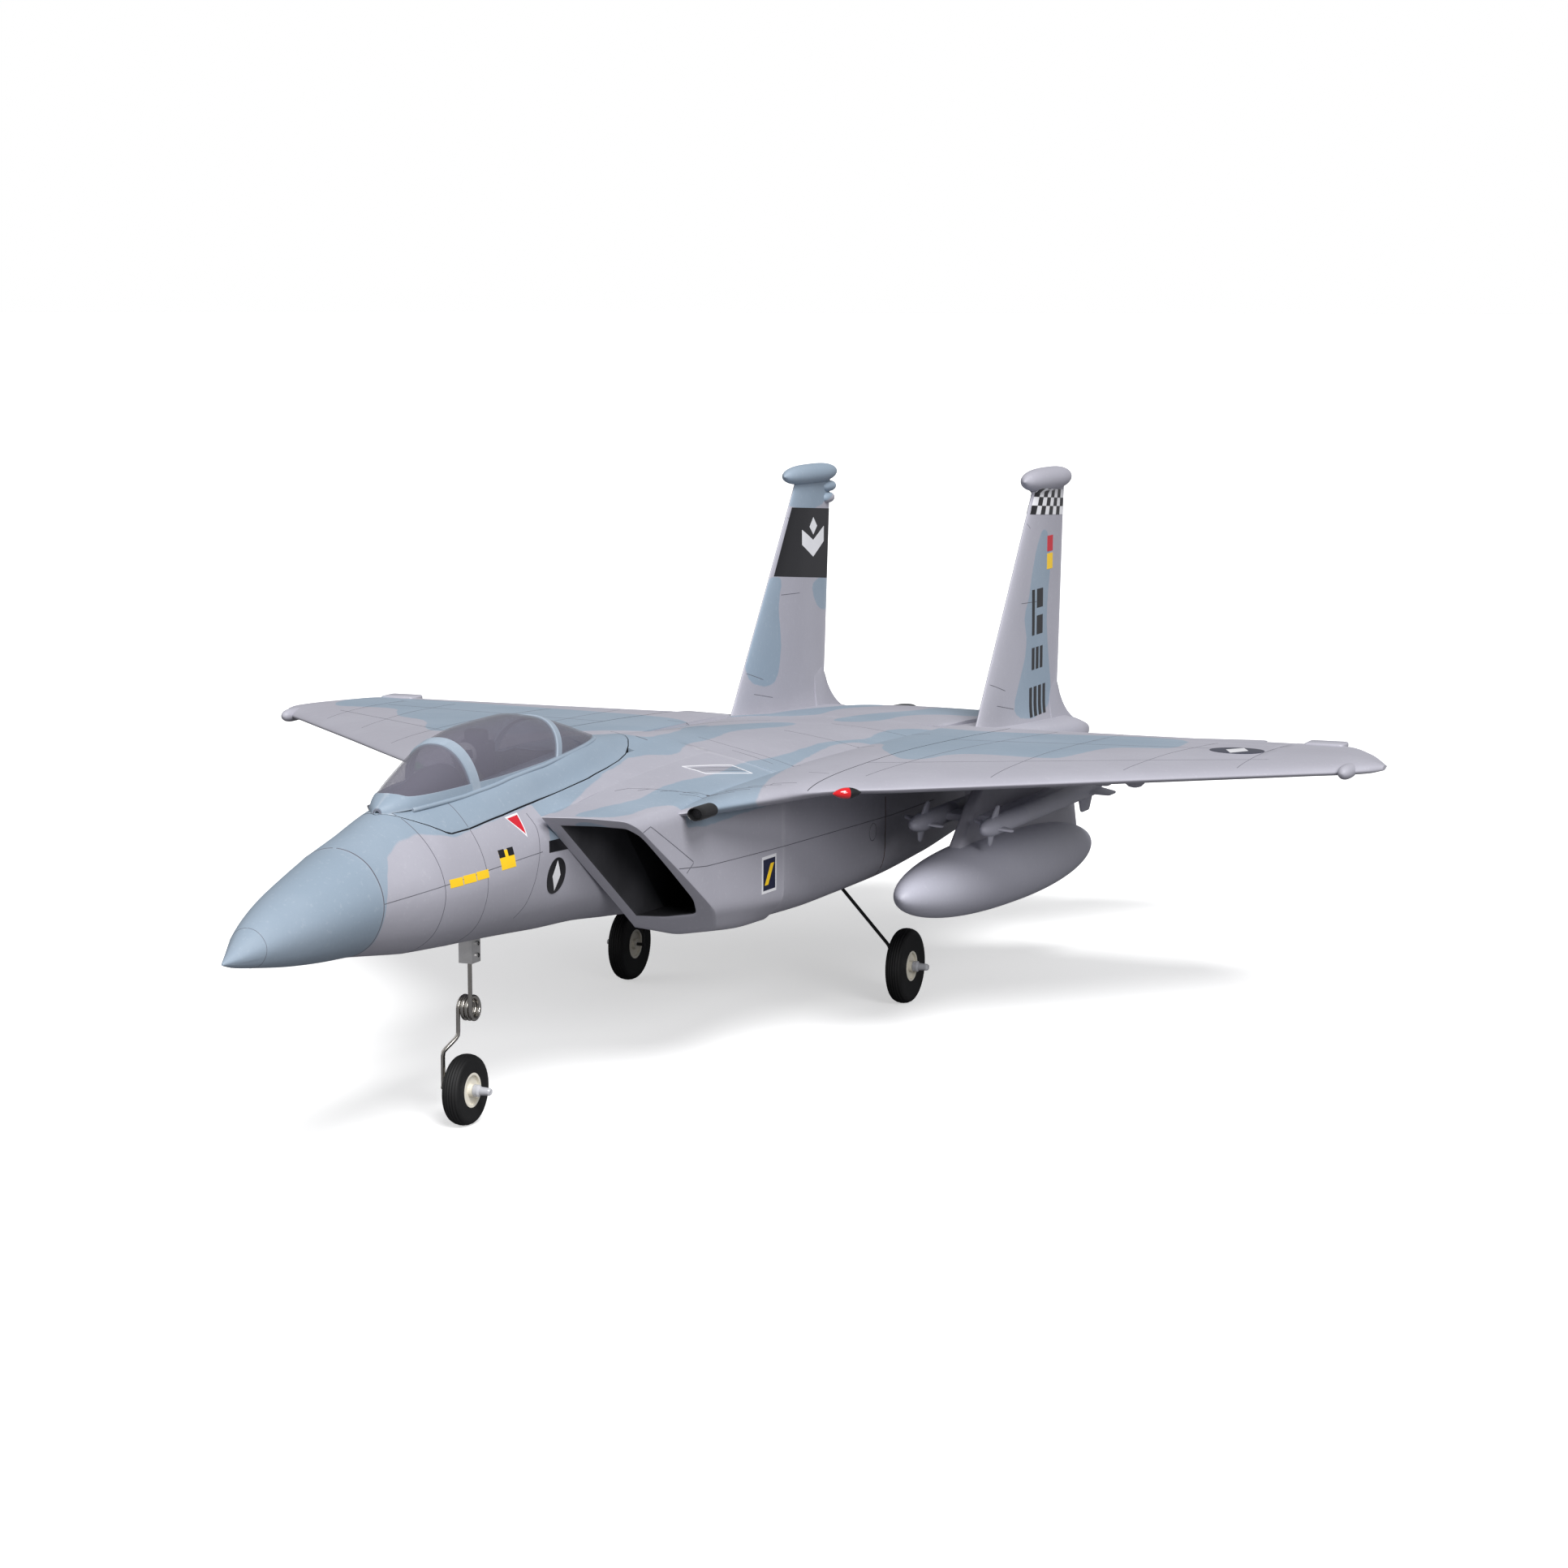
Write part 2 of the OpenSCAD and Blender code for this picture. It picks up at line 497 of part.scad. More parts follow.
stab_st = [[100.6, 739, 900, 0.6, 0, 7.6], [150, 797.6, 909, 0.6, 0, 6.2], [196, 852.4, 918, 0.6, 0, 5],
    [207, 866, body_len, 0.6, 0, 4.4], [210.4, 873, body_len - 1, 0.6, 0, 3]];
module stabilator() {
    foil_loft(stab_st);
    translate([66, stab_y, stab_z]) rotate([0, 90, 0]) cylinder(r = 2, h = 60);
    // control horn inside the tail boom
    translate([86.3, stab_y, stab_z]) difference() {
        union() {
            hull() {
                rotate([0, 90, 0]) cylinder(r = 3.6, h = 1.6, $fn = 32);
                translate([0, 0, -stab_arm_len]) rotate([0, 90, 0]) cylinder(r = 2.2, h = 1.6, $fn = 32);
            }
            rotate([0, 90, 0]) cylinder(r = 3.6, h = 3);
        }
        translate([-1, 0, -stab_arm_len]) rotate([0, 90, 0]) cylinder(r = 1.15, h = 4);
    }
}
module left_stabilator() { color(blue) place() stabilator(); }
module right_stabilator() { color(blue) place() mirror([1, 0, 0]) stabilator(); }
module stab_arm() { translate([86.3, stab_servo_y, stab_z]) side_arm(stab_arm_len, 0.2, 2.4); }
module stab_rod() { translate([86.3, stab_servo_y, stab_z - stab_arm_len]) side_rod(stab_y - stab_servo_y, 2.7); }
module left_stabilator_arm() { color("white") place() stab_arm(); }
module right_stabilator_arm() { color("white") place() mirror([1, 0, 0]) stab_arm(); }
module left_stabilator_rod() { color("silver") place() stab_rod(); }
module right_stabilator_rod() { color("silver") place() mirror([1, 0, 0]) stab_rod(); }

// ---- stores ------------------------------------------------------------
store_x = 140;
store_z = -5;
module pylons() {
    color(grey) place() both() translate([store_x - 3.5, 0, 0]) rotate([90, 0, 90])
        linear_extrude(7) polygon([[592, 25], [556, 2], [528, -22], [545, -28], [735, -34], [716, 24]]);
}
module drop_tanks() {
    color(grey) place() both() translate([store_x, 605, -40]) rotate([-92.25, 0, 0])
        rotate_extrude($fn = 64) polygon(concat([[0, -tank_len / 2]],
            [for (i = [1 : 15]) let (s = -cos(i * 180 / 16)) [tank_d / 2 * pow(1 - pow(abs(s), 2.3), 0.5), s * tank_len / 2]],
            [[0, tank_len / 2]]));
}
module missile(side) {
    rotate([-90, 0, 0]) rotate_extrude($fn = 48) polygon([[0, 0], [1.6, 0.8], [2.8, 3], [3.8, 8], [missile_d / 2, 16],
        [missile_d / 2, 190], [missile_d / 2 - 0.8, 194], [0, 194]]);
    for (a = [12 : 90 : 282]) rotate([0, a, 0]) {
        translate([0, 12, 0]) rotate([0, -90, 0]) translate([0, 0, -0.6]) linear_extrude(1.2)
            polygon([[3, 0], [12, 5], [12, 9], [3, 10]]);
        translate([0, 166, 0]) rotate([0, -90, 0]) translate([0, 0, -0.6]) linear_extrude(1.2)
            polygon([[3, 0], [15, 12], [15, 26], [3, 26]]);
    }
    translate([side > 0 ? -18.2 : 3.6, 40, -2]) cube([14.6, 120, 4]);
}
module missiles() {
    color("#9c9aa2") place() both() for (s = [-1, 1]) translate([store_x + 21 * s, 521, store_z]) missile(s);
}

// ---- landing gear ------------------------------------------------------
function unit(v) = v / norm(v);
module wire(p, r, n = 8) {
    m = len(p);
    skin([for (k = [0 : m - 1])
        let (t = unit(p[min(k + 1, m - 1)] - p[max(k - 1, 0)]),
            a = unit([1, 0, 0] - t[0] * t), b = cross(t, a))
        [for (i = [0 : n - 1]) p[k] + r * (cos(i * 360 / n) * b - sin(i * 360 / n) * a)]]);
}
coil_r = 5.6;
coil_z = -63.1;
coil_pitch = 2.35;
leg_path = concat(
    [[0, steer_y, -22], [0, steer_y, -61]],
    [for (i = [0 : 48]) let (a = i * 22.5)
        [-coil_pitch * i / 16, steer_y + coil_r - coil_r * cos(a), coil_z - coil_r * sin(a)]],
    [[-7.1, steer_y, -70], [-7.1, 224.2, -76], [-7.8, 223.4, -77.6], [-11.6, 218.8, -82.8], [-12.4, 218, -84.4],
        [-12.5, nose_axle_y, -88], [-12.5, nose_axle_y, nose_axle_z - 0.6]]);
module nose_gear_leg() {
    color("silver") place() {
        wire(leg_path, nose_wire_d / 2);
        translate([-13.6, nose_axle_y, nose_axle_z]) rotate([0, 90, 0]) cylinder(d = nose_wire_d, h = 26.2);
    }
}
module nose_gear_mount() {
    color("#35363a") place() difference() {
        union() {
            translate([-11, 212, -24.2]) cube([22, 23.8, 4]);
            translate([-8, 214, -20.2]) cube([16, 20.8, 18]);
        }
        translate([0, steer_y, -30]) cylinder(r = 3.06, h = 40);
        for (x = [-9.4, 9.4]) for (y = [214.4, 233.4]) translate([x, y, -30]) cylinder(r = 0.9, h = 20);
    }
}
module nose_gear_block() {
    color("#c9ccd0") place() difference() {
        union() {
            translate([-3.8, steer_y - 4.4, -38.6]) cube([7.6, 8.8, 13.9]);
            translate([0, steer_y, -24.7]) cylinder(r = 3, h = 26.9);
            // steering arm
            hull() {
                translate([0, steer_y, 0]) cylinder(r = 4.4, h = 2.2, $fn = 32);
                translate([arm_len, steer_y, 0]) cylinder(r = 2.2, h = 2.2, $fn = 32);
            }
            // grub screws
            for (z = [-29, -35]) translate([3.4, steer_y, z]) rotate([0, 90, 0]) cylinder(r = 1.1, h = 1.1);
        }
        translate([0, steer_y, -45]) cylinder(d = nose_wire_d + 0.02, h = 23.1);
        translate([arm_len, steer_y, -1]) cylinder(r = 1.15, h = 6);
    }
}
module steering_arm() {
    color("white") place() translate([0, servo_steer_y, 0]) difference() {
        union() {
            hull() {
                cylinder(r = 3.4, h = 2, $fn = 32);
                translate([arm_len, 0, 0]) cylinder(r = 1.9, h = 2, $fn = 32);
            }
            translate([0, 0, -1.7]) cylinder(r = 3, h = 3);
            translate([0, 0, -4.4]) cylinder(r = 2, h = 5);
        }
        translate([arm_len, 0, -1]) cylinder(r = rod_d / 2 - 0.14, h = 5);
    }
}
module steering_rod() {
    color("silver") place() {
        translate([arm_len, steer_y - 0.8, 3.2]) rotate([-90, 0, 0]) cylinder(d = rod_d, h = servo_steer_y - steer_y + 1.6);
        for (y = [steer_y, servo_steer_y]) translate([arm_len, y, -0.2]) cylinder(r = rod_d / 2 - 0.2, h = 3.4);
    }
}
module axle_cap() {
    rotate([0, 90, 0]) difference() {
        rotate_extrude($fn = 48) polygon([[0, 0], [3.1, 0], [3.1, 2.4], [2.2, 3.2], [2, 8], [1.5, 9], [0, 9]]);
        translate([0, 0, -1]) cylinder(r = 1.12, h = 8.2);
    }
}
module nose_axle_cap() { color("#d9dadf") place() translate([5.5, nose_axle_y, nose_axle_z]) axle_cap(); }
module main_axle_caps() {
    color("#d9dadf") place() both() translate([half_track + 5.5, main_y, main_z]) axle_cap();
}
module main_gear_mounts() {
    color("#35363a") place() both() difference() {
        translate([38, 576, -48]) cube([26, 20, 12]);
        translate([44, main_y, -60]) cylinder(d = main_wire_d + 0.1, h = 22);
        for (x = [41, 61]) for (y = [579, 593]) translate([x, y, -60]) cylinder(r = 0.9, h = 16);
    }
}
module main_gear_wires() {
    color("#1c1c1e") place() both() {
        wire([[44, main_y, -38.4], [44, main_y, -53.4], [45, main_y, -54.8], [78.6, main_y, -86.4],
            [79.8, main_y, -88.4], [80.2, main_y, -92], [80.2, main_y, main_z - 0.6]], main_wire_d / 2);
        translate([79.2, main_y, main_z]) rotate([0, 90, 0]) cylinder(d = main_wire_d, h = half_track + 12 - 79.2);
    }
}
module tyre(d) {
    rotate([0, 90, 0]) translate([0, 0, -tyre_w / 2]) rotate_extrude($fn = 96)
        polygon([[hub_d / 2 + 0.02, 0.4], [d / 2 - 4.4, 0], [d / 2 - 2, 0.8], [d / 2 - 0.6, 2.4], [d / 2, 4],
            [d / 2, tyre_w - 4], [d / 2 - 0.6, tyre_w - 2.4], [d / 2 - 2, tyre_w - 0.8], [d / 2 - 4.4, tyre_w],
            [hub_d / 2 + 0.02, tyre_w - 0.4]]);
}
module hub(wire_d) {
    rotate([0, 90, 0]) translate([0, 0, -5.2]) difference() {
        union() {
            cylinder(d = 6.4, h = 10.4);
            translate([0, 0, 1]) cylinder(d = hub_d, h = 8.4);
        }
        translate([0, 0, -1]) cylinder(d = wire_d + 0.12, h = 14);
        for (s = [-0.5, 8]) translate([0, 0, s]) difference() {
            cylinder(d = hub_d - 2.4, h = 2.9);
            translate([0, 0, -1]) cylinder(d = 6.4, h = 5);
        }
    }
}
module nose_tyre() { color(dark) place() translate([0, nose_axle_y, nose_axle_z]) tyre(nose_wheel_d); }
module nose_hub() { color("#e8e4d8") place() translate([0, nose_axle_y, nose_axle_z]) hub(nose_wire_d); }
module left_tyre() { color(dark) place() translate([half_track, main_y, main_z]) tyre(main_wheel_d); }
module left_hub() { color("#e8e4d8") place() translate([half_track, main_y, main_z]) hub(main_wire_d); }
module right_tyre() { color(dark) place() translate([-half_track, main_y, main_z]) tyre(main_wheel_d); }
module right_hub() { color("#e8e4d8") place() translate([-half_track, main_y, main_z]) hub(main_wire_d); }

// ---- canopy hatch --------------------------------------------------------
module wing_root_inserts() {
    color("#18181b") place() both() translate([89, 304, 30.5]) rotate([-90, 0, 0]) difference() {
        cylinder(r = 4.4, h = 16);
        translate([0, 0, -1]) cylinder(r = 3.4, h = 13);
    }
}
module hatch_magnets() {
    color("silver") place() for (x = [-3.4, 3.4]) translate([x, 379.4, 47]) cylinder(r = 3, h = 2.6);
}
module canopy_frame() {
    color(blue) place() difference() {
        skin([for (s = hatch_st) crowned(s[0], [for (p = s[1]) [p[0], p[1] + 0.3]], s[1][2][1] + 0.95)]);
        translate([-12.6, 171.9, 30]) cube([25.2, 126.2, 60]);
    }
}
// glass stations: [y, half width, base z, top z]
glass_st = [[138, 3, 49.8, 51.6], [150, 10, 50.4, 58], [170, 14.6, 51.4, 67], [194, 18, 52.4, 76.2],
    [225, 20.4, 54, 80.6], [263, 20.6, 56.4, 81.8], [290, 19, 58, 77.6], [320, 15, 59.4, 71], [345, 8.6, 60, 64.4],
    [358, 3, 60, 61.2]];
function arch(s, g) = [for (a = [0 : 15 : 90])
    [(s[1] - g) * pow(sin(a), 0.9), s[2] + (s[3] - s[2] - g) * pow(cos(a), 0.9)]];
module canopy_glass() {
    color("#6f7580", 0.5) place() difference() {
        skin([for (s = glass_st) upper(s[0], arch(s, 0))]);
        skin([for (i = [1 : len(glass_st) - 2]) let (s = glass_st[i])
            upper(s[0], concat(arch(s, 1), [[s[1] - 1.2, s[2] - 4]]))]);
    }
}
module cockpit_tub() {
    color("#2b2c30") place() difference() {
        union() {
            translate([-12.4, 172.1, 42]) cube([24.8, 125.8, 11]);
            // instrument hood
            translate([-10, 180, 52]) cube([20, 14, 6]);
            // ejection seat
            translate([-7, 232, 48]) cube([14, 12, 20]);
            translate([-10, 262, 52]) cube([20, 30, 9]);
        }
        translate([-10.4, 198, 44]) cube([20.8, 32, 30]);
    }
}
module pilot_bust() {
    color("#4f5640") place() {
        translate([0, 222, 62]) sphere(r = 7);
        translate([-8.5, 215, 44.2]) cube([17, 14, 13]);
    }
}

// ---- one line per node -------------------------------------------------
nose_cone();
forward_fuselage();
upper_fuselage();
lower_fuselage();
left_intake();
right_intake();
tail_booms();
exhaust_nozzles();
exhaust_duct();
fan_housing();
fan_motor();
fan_rotor();
battery_tray();
battery_pack();
speed_controller();
receiver();
servos();
wing_spar_tube();
left_wing();
right_wing();
left_fin();
right_fin();
pylons();
drop_tanks();
missiles();
nose_gear_mount();
main_gear_mounts();
main_gear_wires();
left_nav_light();
right_nav_light();
main_axle_caps();
wing_root_inserts();
hatch_magnets();
canopy_frame();
canopy_glass();
cockpit_tub();
pilot_bust();
left_aileron();
right_aileron();
left_stabilator();
right_stabilator();
left_aileron_arm();
right_aileron_arm();
left_stabilator_arm();
right_stabilator_arm();
steering_arm();
left_aileron_rod();
right_aileron_rod();
left_stabilator_rod();
right_stabilator_rod();
steering_rod();
nose_gear_leg();
nose_gear_block();
nose_axle_cap();
nose_tyre();
nose_hub();
left_tyre();
left_hub();
right_tyre();
right_hub();
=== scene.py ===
import bpy, bmesh, json, math
import numpy as np
from mathutils import Matrix, Vector
from mathutils.bvhtree import BVHTree

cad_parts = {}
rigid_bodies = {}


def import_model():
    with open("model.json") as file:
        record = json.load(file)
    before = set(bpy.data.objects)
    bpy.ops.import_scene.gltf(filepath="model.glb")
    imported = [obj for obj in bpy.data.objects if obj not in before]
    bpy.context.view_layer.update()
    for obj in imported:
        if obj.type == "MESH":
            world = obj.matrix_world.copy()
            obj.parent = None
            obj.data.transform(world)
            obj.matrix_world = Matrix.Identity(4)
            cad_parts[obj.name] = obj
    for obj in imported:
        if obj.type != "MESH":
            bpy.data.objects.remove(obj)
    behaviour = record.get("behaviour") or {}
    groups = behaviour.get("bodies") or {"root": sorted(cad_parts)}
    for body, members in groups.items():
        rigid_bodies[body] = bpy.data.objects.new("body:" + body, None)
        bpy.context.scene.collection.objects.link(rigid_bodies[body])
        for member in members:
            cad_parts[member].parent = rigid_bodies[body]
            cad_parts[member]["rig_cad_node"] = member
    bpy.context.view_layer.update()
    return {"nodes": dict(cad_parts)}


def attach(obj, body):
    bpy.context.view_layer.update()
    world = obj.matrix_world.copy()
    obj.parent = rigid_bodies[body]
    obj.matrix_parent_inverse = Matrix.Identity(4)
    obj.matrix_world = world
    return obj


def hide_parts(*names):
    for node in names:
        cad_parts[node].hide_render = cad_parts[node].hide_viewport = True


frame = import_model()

OFF = np.array([0, -460, 120.3])
scene = bpy.context.scene
scene.view_settings.view_transform = "Standard"
scene.view_settings.look = "None"


def row(p):
    """Design millimetres (Y from the nose tip, Z from its height) to metres in the row frame."""
    return (np.asarray(p, float) + OFF) / 1000


# ---------------------------------------------------------------- curves
def pchip(xs, ys, x):
    xs, ys, x = np.asarray(xs, float), np.asarray(ys, float), np.atleast_1d(np.asarray(x, float))
    sh = (-1,) + (1,) * (ys.ndim - 1)
    h = np.diff(xs)
    d = np.diff(ys, axis=0) / h.reshape(sh)
    m = np.zeros_like(ys)
    m[0], m[-1] = d[0], d[-1]
    if len(xs) > 2:
        a, b = d[:-1], d[1:]
        w1, w2 = (2 * h[1:] + h[:-1]).reshape(sh), (h[1:] + 2 * h[:-1]).reshape(sh)
        ok = a * b > 0
        sa, sb = np.where(ok, a, 1), np.where(ok, b, 1)
        m[1:-1] = np.where(ok, (w1 + w2) / (w1 / sa + w2 / sb), 0)
    i = np.clip(np.searchsorted(xs, x, side="right") - 1, 0, len(xs) - 2)
    t = ((x - xs[i]) / h[i]).reshape(sh)
    hh = h[i].reshape(sh)
    return ((2 * t**3 - 3 * t**2 + 1) * ys[i] + (t**3 - 2 * t**2 + t) * hh * m[i]
            + (3 * t**2 - 2 * t**3) * ys[i + 1] + (t**3 - t**2) * hh * m[i + 1])


def catmull(p, per, mirror_ends=True, lin=()):
    """Smooth polyline through p with `per` samples a segment; segments in `lin` stay straight."""
    p = np.asarray(p, float)
    if mirror_ends:
        a, b = p[1] * [-1, 1], p[-2] * [-1, 1]
    else:
        a, b = 2 * p[0] - p[1], 2 * p[-1] - p[-2]
    q = np.vstack([a, p, b])
    out = []
    for k in range(len(p) - 1):
        p0, p1, p2, p3 = q[k], q[k + 1], q[k + 2], q[k + 3]
        l01, l12, l23 = [max(np.linalg.norm(v), 1e-6) ** 0.5 for v in (p1 - p0, p2 - p1, p3 - p2)]
        m1 = (p2 - p1) + l12 * ((p1 - p0) / l01 - (p2 - p0) / (l01 + l12))
        m2 = (p2 - p1) + l12 * ((p3 - p2) / l23 - (p3 - p1) / (l12 + l23))
        for t in np.linspace(0, 1, per, endpoint=False):
            c = ((2 * t**3 - 3 * t**2 + 1) * p1 + (t**3 - 2 * t**2 + t) * m1
                 + (3 * t**2 - 2 * t**3) * p2 + (t**3 - t**2) * m2)
            out.append(p1 + (p2 - p1) * t if k in lin else c)
    out.append(p[-1])
    return np.array(out)


def chaikin(p, times=3, r=0.22, closed=True):
    p = np.asarray(p, float)
    for _ in range(times):
        if closed:
            n = np.roll(p, -1, axis=0)
            p = np.stack([p + (n - p) * r, n + (p - n) * r], 1).reshape(-1, p.shape[1])
        else:
            a, b = p[:-1], p[1:]
            q = np.stack([a + (b - a) * r, b + (a - b) * r], 1).reshape(-1, p.shape[1])
            q[0], q[-1] = p[0], p[-1]
            p = q
        r = 0.25
    return p


def resample(p, n, closed=False):
    p = np.asarray(p, float)
    if closed:
        p = np.vstack([p, p[:1]])
    s = np.concatenate([[0], np.cumsum(np.linalg.norm(np.diff(p, axis=0), axis=1))])
    t = np.linspace(0, s[-1], n + 1)[:-1] if closed else np.linspace(0, s[-1], n)
    return np.stack([np.interp(t, s, p[:, k]) for k in range(p.shape[1])], 1)


def rounded(p, r, n=5):
    """Polygon with each corner replaced by an arc-like curve that starts r from the corner."""
    p = np.asarray(p, float)
    out = []
    m = len(p)
    for i in range(m):
        a, c, b = p[i - 1], p[i], p[(i + 1) % m]
        ra = min(r, np.linalg.norm(a - c) * 0.48)
        rb = min(r, np.linalg.norm(b - c) * 0.48)
        s = c + (a - c) / np.linalg.norm(a - c) * ra
        e = c + (b - c) / np.linalg.norm(b - c) * rb
        for t in np.linspace(0, 1, n):
            out.append((1 - t) ** 2 * s + 2 * t * (1 - t) * c + t * t * e)
    return np.array(out)


# ---------------------------------------------------------------- meshes
def make(name, verts, faces, mats, ids=None, sharp=38, body="airframe", slot=None, weld=True):
    me = bpy.data.meshes.new(name)
    me.from_pydata([tuple(v) for v in row(verts)], [], [tuple(int(i) for i in f) for f in faces])
    for m in mats:
        me.materials.append(m)
    if ids is not None:
        me.polygons.foreach_set("material_index", np.asarray(ids, np.int32))
    bm = bmesh.new()
    bm.from_mesh(me)
    if weld:
        bmesh.ops.remove_doubles(bm, verts=bm.verts, dist=2e-6)
        bmesh.ops.dissolve_degenerate(bm, edges=bm.edges, dist=1e-6)
    bmesh.ops.recalc_face_normals(bm, faces=bm.faces)
    bm.to_mesh(me)
    bm.free()
    ob = bpy.data.objects.new(name, me)
    scene.collection.objects.link(ob)
    shade(ob, sharp)
    if body:
        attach(ob, body)
    return ob


def shade(ob, sharp=38):
    me = ob.data
    me.polygons.foreach_set("use_smooth", [True] * len(me.polygons))
    me.set_sharp_from_angle(angle=math.radians(sharp))


def loft_geo(rings, caps=(True, True), base=0, wrap=False):
    rings = np.asarray(rings, float)
    m, n = rings.shape[:2]
    f = []
    for k in range(m if wrap else m - 1):
        a, b = base + k * n, base + ((k + 1) % m) * n
        for i in range(n):
            j = (i + 1) % n
            f.append((a + i, b + i, b + j, a + j))
    if not wrap:
        if caps[0]:
            f.append(tuple(base + i for i in range(n)))
        if caps[1]:
            f.append(tuple(base + (m - 1) * n + i for i in range(n - 1, -1, -1)))
    return rings.reshape(-1, 3), f


def loft(name, rings, mats, **kw):
    caps = kw.pop("caps", (True, True))
    v, f = loft_geo(rings, caps)
    return make(name, v, f, mats, **kw)


def join_geo(parts):
    vs, fs, ids, n = [], [], [], 0
    for p in parts:
        v, f = p[0], p[1]
        i = p[2] if len(p) > 2 else 0
        vs.append(np.asarray(v, float).reshape(-1, 3))
        fs += [tuple(k + n for k in q) for q in f]
        ids += [i] * len(f) if np.isscalar(i) else list(i)
        n += len(vs[-1])
    return np.vstack(vs), fs, ids


def lathe_geo(prof, c, axis="y", seg=64, wrap=False):
    """prof: [(radius, along)]; c: centre in design mm."""
    prof = np.asarray(prof, float)
    a = np.linspace(0, 2 * math.pi, seg, endpoint=False)
    rings = []
    for r, t in prof:
        u, w = r * np.cos(a), r * np.sin(a)
        z = np.full(seg, t)
        rings.append(np.stack({"y": (u, z, w), "x": (z, u, w), "z": (u, w, z)}[axis], 1) + c)
    return loft_geo(rings, wrap=wrap)


def tube_geo(path, r, n=16):
    path = np.asarray(path, float)
    t = np.gradient(path, axis=0)
    t /= np.linalg.norm(t, axis=1)[:, None]
    up = np.array([1.0, 0, 0]) if abs(t[0][0]) < 0.9 else np.array([0, 1.0, 0])
    a = np.cross(t[0], up); a /= np.linalg.norm(a)
    rings = []
    rr = np.broadcast_to(np.asarray(r, float), (len(path),))
    for k in range(len(path)):
        a = a - t[k] * np.dot(a, t[k]); a /= np.linalg.norm(a)
        b = np.cross(t[k], a)
        w = np.linspace(0, 2 * math.pi, n, endpoint=False)
        rings.append(path[k] + rr[k] * (np.cos(w)[:, None] * a + np.sin(w)[:, None] * b))
    return loft_geo(rings)


def box_geo(lo, hi, r=0.6, n=4):
    """Box with its vertical edges and its top and bottom rims rounded."""
    lo, hi = np.asarray(lo, float), np.asarray(hi, float)
    r = min(r, *(hi - lo) * 0.45)
    rings = []
    for k in range(2 * n + 2):
        top = k > n
        t = (k if not top else 2 * n + 1 - k) / n * math.pi / 2
        ins = r * (1 - math.sin(t))
        z = lo[2] + r * (1 - math.cos(t)) if not top else hi[2] - r * (1 - math.cos(t))
        sq = [[lo[0] + ins, lo[1] + ins], [hi[0] - ins, lo[1] + ins], [hi[0] - ins, hi[1] - ins], [lo[0] + ins, hi[1] - ins]]
        q = rounded(sq, max(r - ins, 0.02) + 0.2, 4)
        rings.append(np.column_stack([q, np.full(len(q), z)]))
    return loft_geo(rings)


def both_sides(geo):
    v, f = geo[0], geo[1]
    w = np.asarray(v, float) * [-1, 1, 1]
    g = [[tuple(reversed(q)) for q in f]]
    return (np.vstack([v, w]), list(f) + [tuple(k + len(v) for k in q) for q in g[0]]) + tuple(
        [list(geo[2]) * 2] if len(geo) > 2 and not np.isscalar(geo[2]) else list(geo[2:]))


def mirror_x(geo):
    return (np.asarray(geo[0], float) * [-1, 1, 1], [tuple(reversed(q)) for q in geo[1]]) + tuple(geo[2:])


def volume(me):
    bm = bmesh.new()
    bm.from_mesh(me)
    v = abs(bm.calc_volume())
    bm.free()
    return v


def boolean(ob, cutter, op="DIFFERENCE", keep=False):
    before = volume(ob.data)
    best = None
    for solver in ("MANIFOLD", "EXACT"):
        m = ob.modifiers.new("b", "BOOLEAN")
        m.operation, m.object, m.solver = op, cutter, solver
        try:
            m.material_mode = "TRANSFER"
        except Exception:
            pass
        dg = bpy.context.evaluated_depsgraph_get()
        dg.update()
        new = bpy.data.meshes.new_from_object(ob.evaluated_get(dg))
        ob.modifiers.clear()
        after = volume(new)
        good = len(new.polygons) > 30 and (after < before - 1e-9 if op == "DIFFERENCE" else after > 0) and after > before * 0.02
        if good:
            best = new
            break
        bpy.data.meshes.remove(new)
    if best is None:
        print("boolean left out:", ob.name, cutter.name)
    else:
        old = ob.data
        ob.data = best
        bpy.data.meshes.remove(old)
    if not keep:
        bpy.data.objects.remove(cutter)
    return ob


# ---------------------------------------------------------------- camera
cam = bpy.data.objects.new("camera", bpy.data.cameras.new("camera"))
scene.collection.objects.link(cam)
cam.location = (0.843726, -1.765014, 0.417639)
aim = Vector((0, 0.15451, 0.120302)) - cam.location
cam.rotation_mode = "QUATERNION"
cam.rotation_quaternion = aim.to_track_quat("-Z", "Y") @ Matrix.Rotation(math.radians(-0.135), 4, "Z").to_quaternion()
cam.data.lens, cam.data.sensor_width, cam.data.sensor_fit = 81.46, 36, "HORIZONTAL"
cam.data.clip_start, cam.data.clip_end = 0.05, 50
scene.camera = cam


